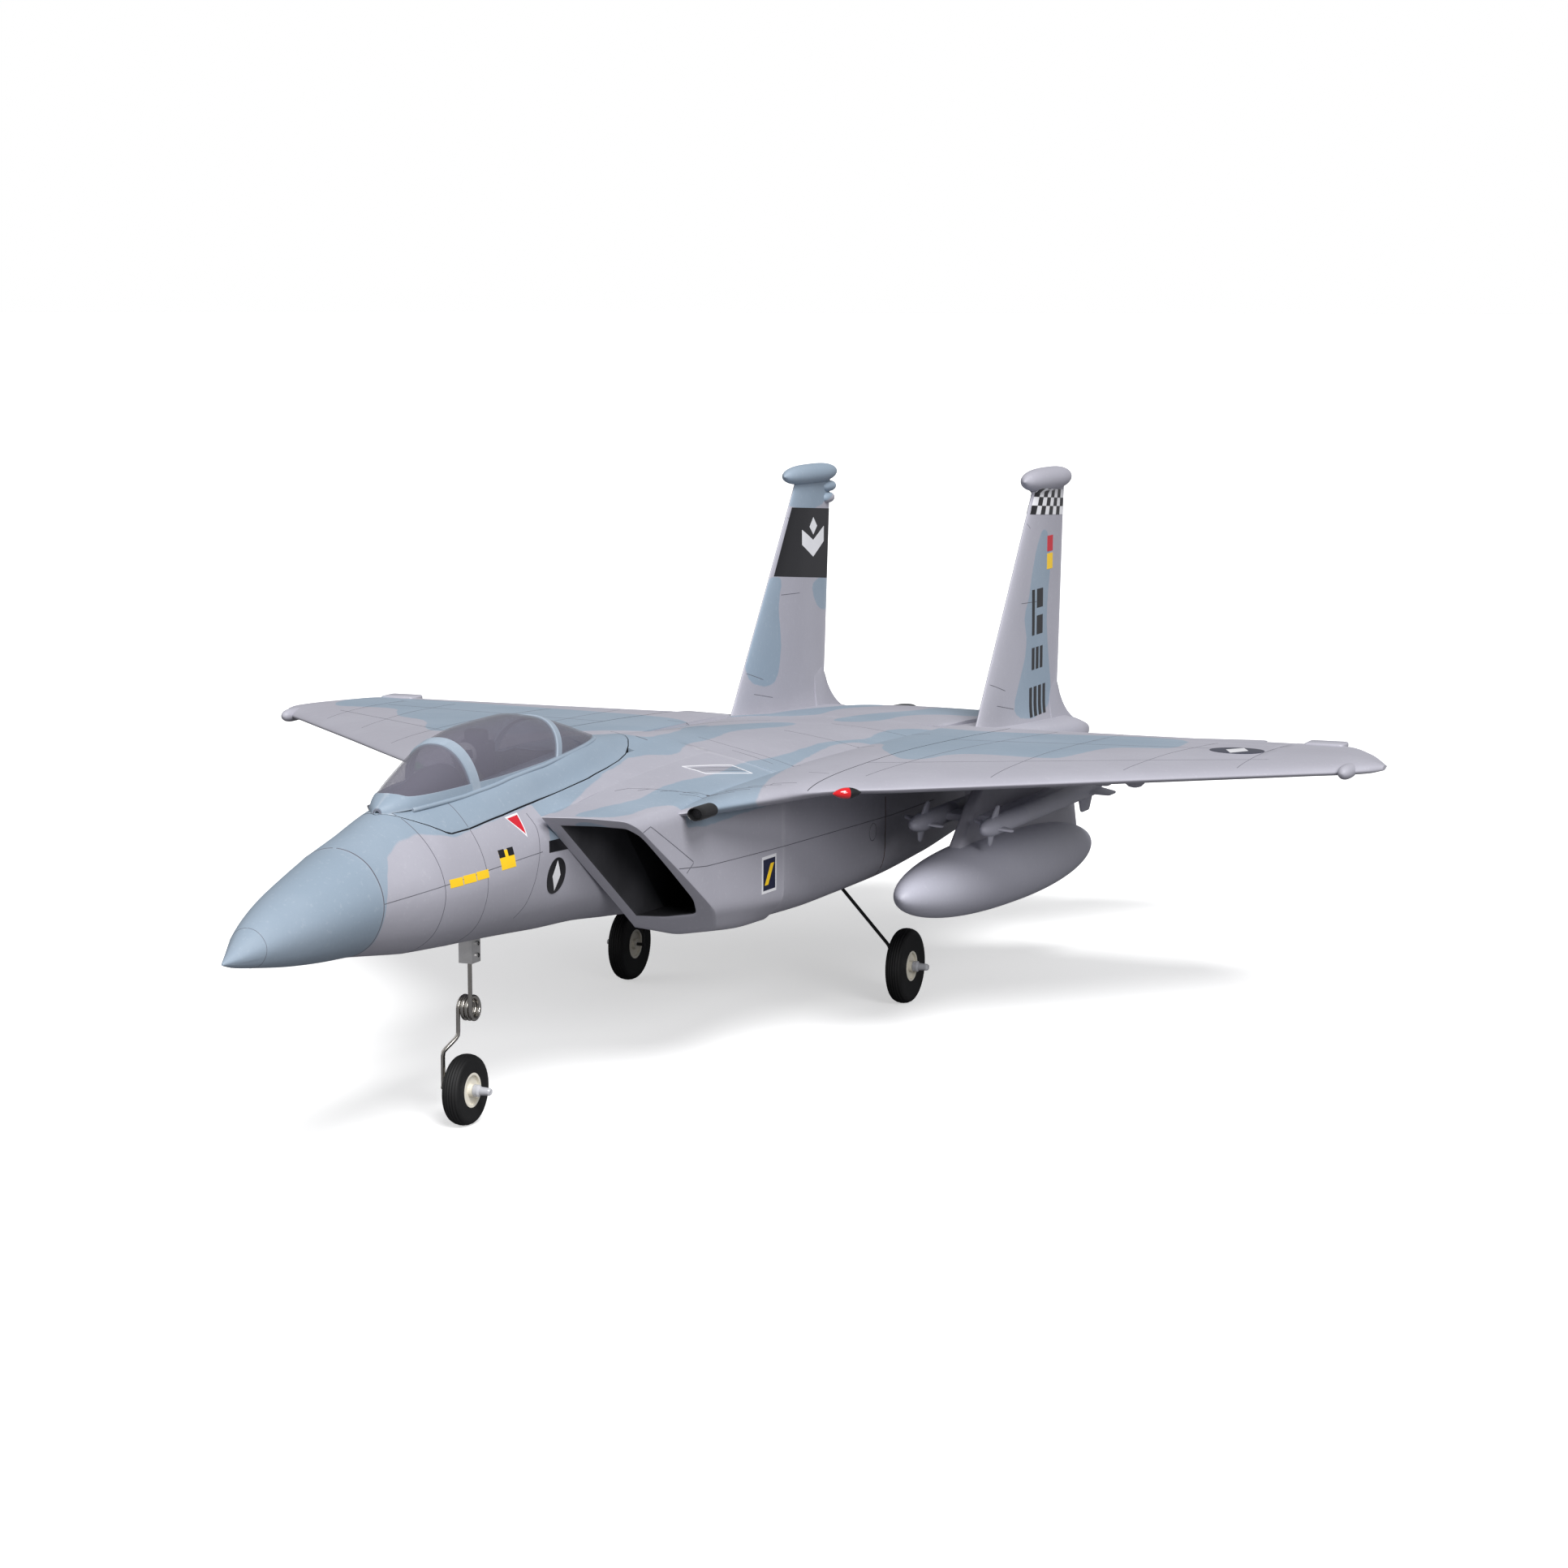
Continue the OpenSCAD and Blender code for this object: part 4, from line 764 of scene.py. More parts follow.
# duct rows in the front third of the duct's length take the dark grey painted shade, and the rows behind them take the
# near-black painted shade
shaded_mouth_rows = int((ts < .34).sum())
ids = [0] * ((len(outer) + 4) * n_r) + [2] * (shaded_mouth_rows * n_r) + [1] * (len(geo[1]) - (len(outer) + 4 + shaded_mouth_rows) * n_r)
# the duct opens at its aft end into the plenum, so the two end rings are joined by a ring of faces
v, f = loft_geo(rings, (False, False))
L = (len(rings) - 1) * n_r
f = list(f) + [(i, (i + 1) % n_r, L + (i + 1) % n_r, L + i) for i in range(n_r)]
ids = ids[:len(f) - n_r] + [0] * n_r
for nm, g_, nd in (("left_intake_trunk", (v, f), "left_intake"), ("right_intake_trunk", mirror_x((v, f)), "right_intake")):
    o = make(nm, g_[0], g_[1], [M["foam"], M["duct"], M["duct_mouth"]], ids, slot="foam_grey", sharp=32)
    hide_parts(nd)

# ---------------------------------------------------------------- wings
FU = np.sqrt([0, .012, .06, .18, .4, .72, 1])
FT, FB = [0, .26, .6, .88, 1, .66, .14], [0, -.26, -.55, -.8, -.9, -.56, -.14]


def foil_ring(le, te, lz, tz, t, cut=None, n=30):
    c = te - le
    s = np.linspace(0, 1, n) * (1.0 if cut is None else math.sqrt(max(0.05, min(1.0, (cut - le) / c))))
    u = s * s
    zc = lz + (tz - lz) * u
    up, lo = zc + t / 2 * pchip(FU, FT, s), zc + t / 2 * pchip(FU, FB, s)
    return np.vstack([np.column_stack([le + c * u, up])[::-1], np.column_stack([le + c * u, lo])[1:]])


def at_x(x, r):
    return np.column_stack([np.full(len(r), x), r])


WX = [74, 84, 90, 97, 105, 112.3, 150, 185, 240, 291, 322, 342, 352, 357.5]
WP = np.array([(300, 698, 29, 28.2, 12), (304, 698, 30.4, 28.2, 14.6), (313, 698, 31, 28.2, 15), (333, 698, 31.2, 28.2, 14.8), (358, 698, 31.2, 28.2, 14.4), (385.4, 698, 31, 28.2, 14),
               (423, 697.8, 30.2, 28.2, 13), (458, 697.5, 29.3, 28.3, 12.2), (513, 697.2, 28, 28.4, 10.9), (564, 697, 26.6, 28.6, 9.6),
               (595, 694, 25.8, 28.6, 8.6), (615, 672, 25.3, 27.8, 7.4), (627, 656, 25.2, 26.4, 5.8), (637, 646, 25.2, 25.6, 3.0)], float)


def wing_station(x):
    return pchip(WX, WP, x)[0]


def wing_geo():
    rs = []
    for x in np.concatenate([np.linspace(74, 112, 16), np.linspace(116, 184, 16), [184.8, 185.0], np.linspace(190, 286, 20), [291.0, 291.2],
                             np.linspace(296, 340, 12), np.linspace(343, 352, 6), [354, 355.6, 356.6, 357.2, 357.5]]):
        rs.append(at_x(x, foil_ring(*wing_station(x), cut=671.2 if 184.9 < x < 291.1 else None)))
    return loft_geo(rs)


def slot_cut(o, lo, hi, sx):
    g_ = crate(lo, hi)
    boolean(o, cutter(mirror_x(g_) if sx < 0 else g_, "foam"))


def flap_geo():
    rs = []
    for x in np.linspace(185.5, 290.5, 22):
        w_ = wing_station(x)
        h = (pchip(FU, FT, math.sqrt((672 - w_[0]) / (w_[1] - w_[0])))[0] - pchip(FU, FB, math.sqrt((672 - w_[0]) / (w_[1] - w_[0])))[0]) * w_[4] / 4
        zc = 28.4
        up = [(697, zc + .75), (690, zc + .75 + (h - .75) * .3), (682, zc + .75 + (h - .75) * .66), (675, zc + h * .97)]
        nose_ = [(672 + .1 - h * math.sin(a) * .98 + (0 if a > 0 else 0), zc + h * math.cos(a)) for a in np.linspace(0, math.pi, 9)]
        lo = [(y, 2 * zc - z) for y, z in up[::-1]]
        rs.append(at_x(x, np.array(up + nose_ + lo)))
    g1 = loft_geo(rs)
    horn = [(4.4, 0), (12, 0), (12, -1.6), (2.6, -13.6), (1, -14.6), (-1, -14.6), (-2.4, -13), (-2.4, -10.4), (1.4, -6)]
    g2 = loft_geo([[(x, 672 + a, 28.4 + b) for a, b in rounded(horn, .7, 3)] for x in (222, 222.2, 223.4, 223.6)])
    return join_geo([g1, g2])


def capsule_geo(r, ln, x, y, z, squash=1.0, seg=40):
    s_ = np.concatenate([[0.0005], np.linspace(0, 1, 26)[1:-1] ** 1.0, [0.9995]])
    prof = [(max(0.02, r * (1 - abs(2 * q - 1) ** 3) ** 0.5), y + ln * q) for q in s_]
    v_, f_ = lathe_geo(prof, (x, 0, 0), "y", seg)
    v_ = np.asarray(v_)
    v_[:, 2] = z + v_[:, 2] * squash
    return v_, f_


def plate_geo(outline, axis, lo, hi, r=0.5):
    """Outline extruded between lo and hi along axis with softened rims."""
    o = np.asarray(outline, float)
    c = o.mean(0)
    rs = []
    for t, k in ((lo, r), (lo + r * .35, r * .35), (lo + r, 0), (hi - r, 0), (hi - r * .35, r * .35), (hi, r)):
        d = o - c
        L_ = np.linalg.norm(d, axis=1)[:, None]
        q = rounded(o - d / L_ * k, 2.0, 4)
        z = np.full(len(q), t)
        rs.append(np.column_stack({"x": (z, q[:, 0], q[:, 1]), "z": (q[:, 0], q[:, 1], z), "y": (q[:, 0], z, q[:, 1])}[axis]))
    return loft_geo(rs)


wg = wing_geo()
bulge = capsule_geo(4.2, 24, 342, 606, 25.4)
te_plate = plate_geo([(297, 690), (320, 690), (320, 706), (297, 706)], "z", 27.2, 30.6, .9)
dome = lathe_geo([(6.4, 23.2), (6.3, 20.5), (5.4, 18.2), (3.6, 16.6), (1.6, 16), (.05, 15.9)], (232, 575, 0), "z", 36)
stub = plate_geo([(211, 566), (219, 566), (219, 574), (211, 574)], "z", 17, 23.4, .5)
for nm, sx, nd in (("left_wing_panel", 1, "left_wing"), ("right_wing_panel", -1, "right_wing")):
    a_ = wg if sx > 0 else mirror_x(wg)
    o = make(nm, a_[0], a_[1], [M["foam"], M["duct"]], slot="foam_grey", sharp=40)
    slot_cut(o, (218.7, 589, 8), (227, 607, 31.8), sx)
    shade(o, 40)
    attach(o, "airframe"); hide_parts(nd)
    t_ = join_geo([bulge, te_plate, dome, stub])
    t_ = t_ if sx > 0 else mirror_x(t_)
    make(nm + "_fittings", t_[0], t_[1], [M["foam"]], slot="foam_grey", sharp=50)
    a_ = flap_geo(); a_ = a_ if sx > 0 else mirror_x(a_)
    side_ = "left" if sx > 0 else "right"
    o = make(side_ + "_aileron_panel", a_[0], a_[1], [M["foam"]], body=side_ + "_aileron", slot="foam_grey")
    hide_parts(side_ + "_aileron")

# ---------------------------------------------------------------- tail
FINT = [(14, 711, 884.6, 8.8), (30, 722.5, 867.5, 8), (60, 744, 869.8, 7.3), (100, 773, 873, 6.5), (150, 809, 877, 5.6), (169, 822.6, 879, 5.2)]


def fin_geo(pod_r, bumps):
    rs = []
    for z in np.concatenate([[14, 18, 22, 26, 30], np.arange(36, 168, 5.5), [169]]):
        _, le, te, t = pchip([q[0] for q in FINT], FINT, z)[0]
        le -= 9 * max(0, (30 - z) / 22) ** 2
        flare = 1 + .18 * max(0, (31 - z) / 10) ** 2 * (z < 31)
        r_ = foil_ring(le, te, 0, 0, t * flare, n=26)
        rs.append(np.column_stack([82.4 + r_[:, 1], r_[:, 0], np.full(len(r_), z)]))
    g_ = [loft_geo(rs), capsule_geo(pod_r, 84, 82.4, 803.6, 171.6)]
    # trailing fillet that runs down onto the boom
    fil = []
    for y in np.linspace(850, 903, 28):
        u = (y - 850) / 53
        h = float(pchip([850, 862, 868, 874, 881, 890, 897, 903], [46, 45, 40, 31, 24, 17.6, 14, 11.4], y)[0])
        w_ = 2.9 * (1 - u) + 1.0
        zb = 12 - 6 * u
        q_ = [(w_, 0), (w_ * .78, .18), (w_ * .5, .45), (w_ * .34, .75), (w_ * .22, .95), (0, 1)]
        fil.append([(82.4 + a_, y, zb + (h - zb) * b_) for a_, b_ in q_] + [(82.4 - a_, y, zb + (h - zb) * b_) for a_, b_ in q_[-2::-1]])
    g_.append(loft_geo(fil))
    for r_, ln, y, z in bumps:
        g_.append(capsule_geo(r_, ln, 82.4, y, z))
    return join_geo(g_)


for nm, nd, sx, pr, bm_ in (("left_fin_shell", "left_fin", 1, 7.6, ()), ("right_fin_shell", "right_fin", -1, 6.6, ((3.6, 20, 866, 162), (3.6, 17, 866, 154.4)))):
    a_ = fin_geo(pr, bm_)
    a_ = a_ if sx > 0 else mirror_x(a_)
    o = make(nm, a_[0], a_[1], [M["foam"]], slot="foam_grey", sharp=45)
    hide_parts(nd)

STX = [100.6, 150, 196, 207, 210.4]
STP = np.array([(739, 900, .6, 0, 7.6), (797.6, 909, .6, 0, 6.2), (852.4, 918, .6, 0, 5), (866, 920, .6, 0, 4.4), (873, 919, .6, 0, 2.4)], float)
rs = [at_x(x, foil_ring(*pchip(STX, STP, x)[0], n=24)) for x in np.concatenate([[100.6, 101.2], np.linspace(105, 204, 26), [206, 208, 209.2, 210, 210.4]])]
shaft = lathe_geo([(.01, 66), (2, 66), (2, 126), (.01, 126)], (0, 842, 0), "x", 32)
arm = [(-3.6, 1.6), (-2, 3.4), (2, 3.4), (3.6, 1.6), (2.2, -13.2), (1.2, -14.2), (-1.2, -14.2), (-2.2, -13.2)]
horn = loft_geo([[(x, 842 + a, b) for a, b in rounded(arm, .8, 3)] for x in (86.3, 86.5, 87.7, 87.9)])
for side_, sx in (("left", 1), ("right", -1)):
    a_ = join_geo([loft_geo(rs) + (0,), shaft + (1,), horn + (2,)])
    a_ = a_ if sx > 0 else mirror_x(a_)
    o = make(side_ + "_stabilator_panel", a_[0], a_[1], [M["foam"], M["steel"], M["nylon"]], a_[2], body=side_ + "_stabilator", slot="foam_blue")
    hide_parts(side_ + "_stabilator")

BO = [(690, [(50, 27.4), (83, 26.6), (85.4, 22), (85.6, 16), (85.6, -14), (80, -26), (70, -30), (50, -30)]),
      (700.6, [(52, 26.9), (85, 26.5), (87.6, 22), (88.5, 16), (88.5, -12), (82, -26), (72, -31), (52, -32)]),
      (760, [(52, 23.4), (86.5, 22.9), (92, 19.5), (94, 14), (94, -10), (86, -21), (74, -25), (52, -26)]),
      (845, [(58, 18), (87, 17.6), (95, 14.5), (98, 9), (98, -8), (90, -14), (76, -16), (60, -15)]),
      (880, [(66, 15.5), (87, 15.4), (94.5, 12.5), (97, 8), (97, -4), (90, -9), (78, -9.5), (66, -8)]),
      (905, [(78, 9), (86, 9.5), (91, 8), (93, 6), (93, 2), (88, -1.5), (82, -2), (78, -.5)])]
rs = []
for y in np.concatenate([np.arange(690, 880, 5.5), np.linspace(881, 903, 8), [904.4, 905]]):
    q = chaikin(pchip([b[0] for b in BO], np.array([b[1] for b in BO], float), y)[0], 3, .2)
    if y > 903:
        q = q.mean(0) + (q - q.mean(0)) * (.93 if y < 905 else .8)
    rs.append(np.column_stack([q[:, 0], np.full(len(q), y), q[:, 1]]))
bg = loft_geo(rs)
for sx in (1, -1):
    a_ = bg if sx > 0 else mirror_x(bg)
    o = make("left_tail_boom" if sx > 0 else "right_tail_boom", a_[0], a_[1], [M["foam"], M["duct"]], slot="foam_grey", sharp=42)
    slot_cut(o, (85.8, 703.8, -34), (91.8, 853.8, 4.5), sx)
    shade(o, 42)
    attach(o, "airframe")
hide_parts("tail_booms")

NZ = [(845.6, 25.9, 23.9), (847, 26.1, 23.9), (853, 26.1, 24.2), (854, 25.6, 24.2), (856, 25.6, 24.2), (857, 25.9, 24.2), (872, 25.6, 24), (889.4, 24.9, 23.8), (891, 24.7, 23.9), (891.6, 24.5, 24.1)]
aa = np.linspace(0, 2 * math.pi, 144, endpoint=False)
groove = np.exp(-((np.degrees(aa) % 30 - 15) / 2.2) ** 2)
nzr = [np.stack([31 + (r0 - (.75 * groove if y > 856.5 else 0)) * np.cos(aa), np.full(144, y), -8 + (r0 - (.75 * groove if y > 856.5 else 0)) * np.sin(aa)], 1) for y, r0, r1 in NZ]
nzr += [np.stack([31 + r1 * np.cos(aa), np.full(144, y), -8 + r1 * np.sin(aa)], 1) for y, r0, r1 in NZ[::-1]]
nz = both_sides(loft_geo(nzr, wrap=True))
o = make("nozzle_petals", nz[0], nz[1], [M["motor"]], slot="dark_plastic", sharp=30)
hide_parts("exhaust_nozzles")

# ---------------------------------------------------------------- stores
tilt = Matrix.Rotation(math.radians(-2.25), 3, "X")
th = np.linspace(0, math.pi, 46)
prof = [(max(.02, 21.5 * (1 - abs(math.cos(a)) ** 2.3) ** .5), -153 * math.cos(a)) for a in th]
tv, tf = lathe_geo(prof, (0, 0, 0), "y", 72)
tv = np.array([tilt @ Vector(p) for p in tv]) + [140, 605, -40]
cap_v, cap_f = lathe_geo([(0.02, -153.4), (2.2, -152.6), (3.4, -150.6), (3.2, -149)], (0, 0, 0), "y", 32)
cap_v = np.array([tilt @ Vector(p) for p in cap_v]) + [140, 605, -40]
tk = both_sides(join_geo([(tv, tf), (cap_v, cap_f)])[:2])
o = make("drop_tank_shells", tk[0], tk[1], [M["foam_store"]], slot="store_grey", sharp=60)
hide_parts("drop_tanks")
pg = both_sides(plate_geo([(592, 26), (556, 2), (528, -22), (545, -30), (735, -36), (716, 25)], "x", 136.3, 143.7, 1.8))
o = make("store_pylons", pg[0], pg[1], [M["foam"]], slot="foam_grey", sharp=50)
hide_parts("pylons")
mp = [(r * 1.2, y) for r, y in [(.02, 0), (1.2, .5), (2.3, 2.2), (3.1, 5), (3.9, 9.5), (4.4, 15), (4.5, 20), (4.5, 60), (4.62, 60.5), (4.62, 63), (4.5, 63.5), (4.5, 190), (4.1, 193.4), (3.2, 194), (.02, 194)]]
parts = []
for s_ in (-1, 1):
    cx = 140 + 21 * s_
    parts.append(lathe_geo([(r, 521 + y) for r, y in mp], (cx, 0, -5), "y", 40))
    for k in range(4):
        rot = Matrix.Rotation(math.radians(12 + 90 * k), 3, "Y")
        for ol in ([(3, 12), (12, 17), (12, 21), (3, 22)], [(3, 166), (15, 178), (15, 192), (3, 192)]):
            v_, f_ = plate_geo([(a, 521 + b) for a, b in ol], "z", -.6, .6, .25)
            v_ = np.array([rot @ Vector((p[0], 0, p[2])) + Vector((0, p[1], 0)) for p in v_]) + [cx, 0, -5]
            parts.append((v_, f_))
    x0, x1 = (122.8 + .2, 137) if s_ < 0 else (143, 157.2)
    parts.append(box_geo((x0, 561, -7), (x1, 681, -3), 1))
mg = both_sides(join_geo(parts)[:2])
o = make("missile_set", mg[0], mg[1], [M["foam_store"]], slot="store_grey", sharp=38)
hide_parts("missiles")

# ---------------------------------------------------------------- landing gear
cz = -63.1
path = [(0, 224.4, -22), (0, 224.4, -40), (0, 224.4, -56), (0, 224.4, -61)]
path += [(-2.35 * i / 48, 224.4 + 5.6 - 5.6 * math.cos(i * math.pi / 24), cz - 5.6 * math.sin(i * math.pi / 24)) for i in range(145)]
path += [(-7.1, 224.4, -70), (-7.1, 224.3, -74.5), (-7.15, 224, -76.4), (-7.8, 223.3, -77.9), (-9.6, 221.2, -80.4), (-11.4, 219, -82.8), (-12.2, 218.2, -84.2),
         (-12.5, 218, -86.4), (-12.5, 218, -94), (-12.5, 218, -102)]
leg = join_geo([tube_geo(path, 1.1, 18), lathe_geo([(.01, -13.6), (.8, -13.6), (1.1, -13.3), (1.1, 13.7), (.8, 14), (.01, 14)], (0, 218, -102.3), "x", 24)])
o = make("nose_leg_wire", leg[0], leg[1], [M["steel"]], body="nose_strut", slot="steel_wire")
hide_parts("nose_gear_leg")
mw = [(44, 586, -38.4), (44, 586, -44), (44.05, 586, -48.6), (44.6, 586, -50), (46, 586, -51.5), (60, 586, -66.5), (78, 586, -85.8), (79.3, 586, -87.5), (80, 586, -89.8), (80.2, 586, -92.4), (80.2, 586, -98.9)]
wg2 = both_sides(join_geo([tube_geo(mw, 1.0, 16), lathe_geo([(.01, 79.2), (1, 79.2), (1, 101.2), (.7, 101.5), (.01, 101.5)], (0, 586, -98.3), "x", 24)])[:2])
o = make("main_leg_wires", wg2[0], wg2[1], [M["wire"]], slot="black_wire")
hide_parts("main_gear_wires")


def tyre_geo(d, cx, cy, cz_):
    R, w_, h_ = d / 2, 9.4, 8.77
    pr_ = [(h_, -4.2), (R - 6, -4.6), (R - 4.4, -4.7)]
    for a in np.linspace(-80, 80, 41):
        t = math.radians(a)
        r = R - 4.4 + 4.4 * math.cos(t) ** .55
        x = 4.7 * math.sin(t) / math.sin(math.radians(80))
        groove = sum(.55 * math.exp(-((x - g0) / .33) ** 2) for g0 in (-2.9, -1.45, 0, 1.45, 2.9))
        pr_.append((r - groove, x))
    pr_ += [(R - 4.4, 4.7), (R - 6, 4.6), (h_, 4.2)]
    return lathe_geo(pr_, (cx, cy, cz_), "x", 96, wrap=True)


for nm, d, c_, b_ in (("nose_tyre", 36, (0, 218, -102.3), "nose_wheel"), ("left_tyre", 44, (89.5, 586, -98.3), "left_wheel"), ("right_tyre", 44, (-89.5, 586, -98.3), "right_wheel")):
    a_ = tyre_geo(d, *c_)
    o = make(nm + "_tread", a_[0], a_[1], [M["rubber"]], body=b_, slot="tyre_rubber", sharp=60)
    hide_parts(nm)

# ---------------------------------------------------------------- canopy
GL = np.array([(136, 2.2, 49.4, 50.6), (142, 7, 49.8, 54.2), (150, 10.8, 50.4, 58.4), (170, 15, 51.4, 67.4), (194, 18, 52.4, 76.2), (225, 20.4, 54, 80.8), (263, 20.6, 56.2, 81.6),
               (290, 19, 57.6, 77.8), (320, 14.8, 58.6, 70.6), (345, 8.8, 59, 63.6), (358, 3, 59, 60.4)], float)


def dome(y, a, off=0.0):
    w_, zb, zt = pchip(GL[:, 0], GL[:, 1:], y)[0]
    zb -= 1.2
    w_, zt = w_ + off, zt + off
    return (w_ * math.copysign(abs(math.sin(a)) ** .9, math.sin(a)), y, zb + (zt - zb) * abs(math.cos(a)) ** .9)


def strip(y, off, n=40):
    return np.array([dome(y, a, off) for a in np.linspace(-math.pi / 2, math.pi / 2, n)])


gy = np.concatenate([np.linspace(136, 150, 8), np.arange(154, 344, 4), np.linspace(345, 358, 6)])
ro = [strip(y, 0) for y in gy]
ri = [strip(y, -.8 if 1.2 < pchip(GL[:, 0], GL[:, 1:], y)[0][0] else -.4) for y in gy]
n_g = 40
vv = np.vstack(ro + ri)
ff = []
m_g = len(gy)
for k in range(m_g - 1):
    for i in range(n_g - 1):
        a, b = k * n_g + i, (k + 1) * n_g + i
        ff.append((a, a + 1, b + 1, b))
        a, b = a + m_g * n_g, b + m_g * n_g
        ff.append((a, b, b + 1, a + 1))
    for i in (0, n_g - 1):
        a, b = k * n_g + i, (k + 1) * n_g + i
        ff.append((a, b, b + m_g * n_g, a + m_g * n_g))
for i in range(n_g - 1):
    for k in (0, m_g - 1):
        a = k * n_g + i
        ff.append((a, a + m_g * n_g, a + 1 + m_g * n_g, a + 1))
o = make("canopy_glass_dome", vv, ff, [M["glass"]], body="canopy_hatch", slot="canopy_tint", sharp=70)
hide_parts("canopy_glass")


def arch_geo(fy_, width, hgt):
    """Band over the glass; fy_(a) gives the y of the band's middle at each angle."""
    rs_ = []
    for a in np.linspace(-math.pi / 2, math.pi / 2, 49):
        y = fy_(a)
        p0, p1 = np.array(dome(y - width / 2, a, .05)), np.array(dome(y + width / 2, a, .05))
        q0, q1 = np.array(dome(y - width / 2 + .4, a, hgt)), np.array(dome(y + width / 2 - .4, a, hgt))
        i0, i1 = np.array(dome(y - width / 2, a, -1.4)), np.array(dome(y + width / 2, a, -1.4))
        rs_.append([p0, q0, q1, p1, i1, i0])
    return loft_geo(rs_)


arcs = [arch_geo(lambda a: 194 + 6 * (abs(a) / (math.pi / 2)) ** 2, 7.2, .7), arch_geo(lambda a: 294 - 9 * (abs(a) / (math.pi / 2)) ** 2, 6.0, .7)]
rim = []
yy = np.linspace(150, 350, 84)
for sx in (1, -1):
    pts = []
    for y in yy:
        w_, zb, zt = pchip(GL[:, 0], GL[:, 1:], y)[0]
        pts.append((sx * (w_ + .5), y, max(zb - 1.6, min(zb, top_z(w_ + .5, y) + .1))))
    rim.append(tube_geo(pts, 1.15, 10))
collar = []
CH = [(136, 12), (143.5, 12), (146.5, 7.4), (150, 5.8), (160, 5.2), (194, 4.6), (225, 3.6), (263, 2.7), (320, 2.2), (357, 2.2)]
for sx in (1, -1):
    cr = []
    for y in np.concatenate([np.linspace(136.2, 150, 15), np.linspace(153, 355, 70)]):
        w_, zb, zt = pchip(GL[:, 0], GL[:, 1:], y)[0]
        hc_ = float(pchip([q[0] for q in CH], [q[1] for q in CH], y)[0])
        a0 = math.acos(min(1, hc_ / (zt - zb + 1.2)) ** (1 / .9))
        aa = np.linspace(a0 + .001, math.pi / 2, 9)
        cr.append([dome(y, sx * a, .5) for a in aa] + [dome(y, sx * a, -1.2) for a in aa[::-1]])
    collar.append(loft_geo(cr))
ag = join_geo(arcs + rim + collar)
make("canopy_frames", ag[0], ag[1], [M["foam"]], body="canopy_hatch", slot="foam_blue", sharp=50)

# cockpit tub, instrument hood, seat and a generic pilot
tubg = [box_geo((-12.4, 172.1, 42), (12.4, 297.9, 44.6), .6)]
for sx in (-1, 1):
    tubg.append(box_geo((sx * 11.5 - .9, 172.1, 44), (sx * 11.5 + .9, 297.9, 54.2), .5))
tubg += [box_geo((-12.4, 172.1, 44), (12.4, 174, 54), .5), box_geo((-12.4, 296, 44), (12.4, 297.9, 54), .5),
         box_geo((-10.4, 238, 44), (10.4, 296, 56.5), 1.2)]
hood = []
for y in np.linspace(172.5, 200, 12):
    u = (y - 172.5) / 27.5
    a = np.linspace(0, math.pi, 15)
    h = 4 + 8.5 * math.sin(min(1, u * 1.5) * math.pi / 2)
    q = np.column_stack([11 * np.cos(a), np.full(15, y), 52 + h * np.sin(a) ** .8])
    hood.append(np.vstack([q, [(-11, y, 48), (11, y, 48)]]))
seat = [box_geo((-8.4, 232, 50), (8.4, 240, 72), 2.2), box_geo((-5.6, 230.6, 70), (5.6, 238.6, 77.5), 2.4), box_geo((-9, 206, 46), (9, 234, 50), 1.6)]
gear_ = [box_geo((-8, 246, 56), (8, 262, 63), 1.6), box_geo((-6.4, 265, 56), (6.4, 284, 60.6), 1.4)]
panel = [lathe_geo([(.02, 200.2), (2.1, 200.2), (2.3, 200.9), (2.1, 201.4), (.02, 201.4)], (x, 0, 56), "y", 24) for x in (-5.6, 0, 5.6)]
tg = join_geo([g_ + (0,) for g_ in tubg + [loft_geo(hood)]] + [g_ + (1,) for g_ in seat] + [g_ + (2,) for g_ in gear_] + [g_ + (3,) for g_ in panel])
o = make("cockpit_interior", tg[0], tg[1], [M["tub"], M["dark"], M["servo"] if False else M["mask"], M["decal_white"]], tg[2], body="canopy_hatch", slot="dark_plastic", sharp=45)
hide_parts("cockpit_tub")


def blob_geo(c_, r_, pw=2.0, seg=32, cut=None):
    th_ = np.linspace(.04, math.pi - .04, 20)
    rs_ = []
    for t in th_:
        a = np.linspace(0, 2 * math.pi, seg, endpoint=False)
        rs_.append(np.stack([c_[0] + r_[0] * np.sin(t) * np.cos(a), c_[1] + r_[1] * np.sin(t) * np.sin(a), c_[2] - r_[2] * np.cos(t) * np.ones(seg)], 1))
    return loft_geo(rs_)


def band_geo(c_, r_, a0, a1, z0, z1, th_=.5):
    rs_ = []
    for t in np.linspace(a0, a1, 22):
        q = []
        for z in np.linspace(z0, z1, 8):
            k = math.sqrt(max(0, 1 - (z / r_[2]) ** 2))
            q.append((c_[0] + (r_[0] * k + th_) * math.sin(t), c_[1] - (r_[1] * k + th_) * math.cos(t), c_[2] + z))
        for z in np.linspace(z1, z0, 8):
            k = math.sqrt(max(0, 1 - (z / r_[2]) ** 2))
            q.append((c_[0] + (r_[0] * k - .6) * math.sin(t), c_[1] - (r_[1] * k - .6) * math.cos(t), c_[2] + z))
        rs_.append(q)
    return loft_geo(rs_)


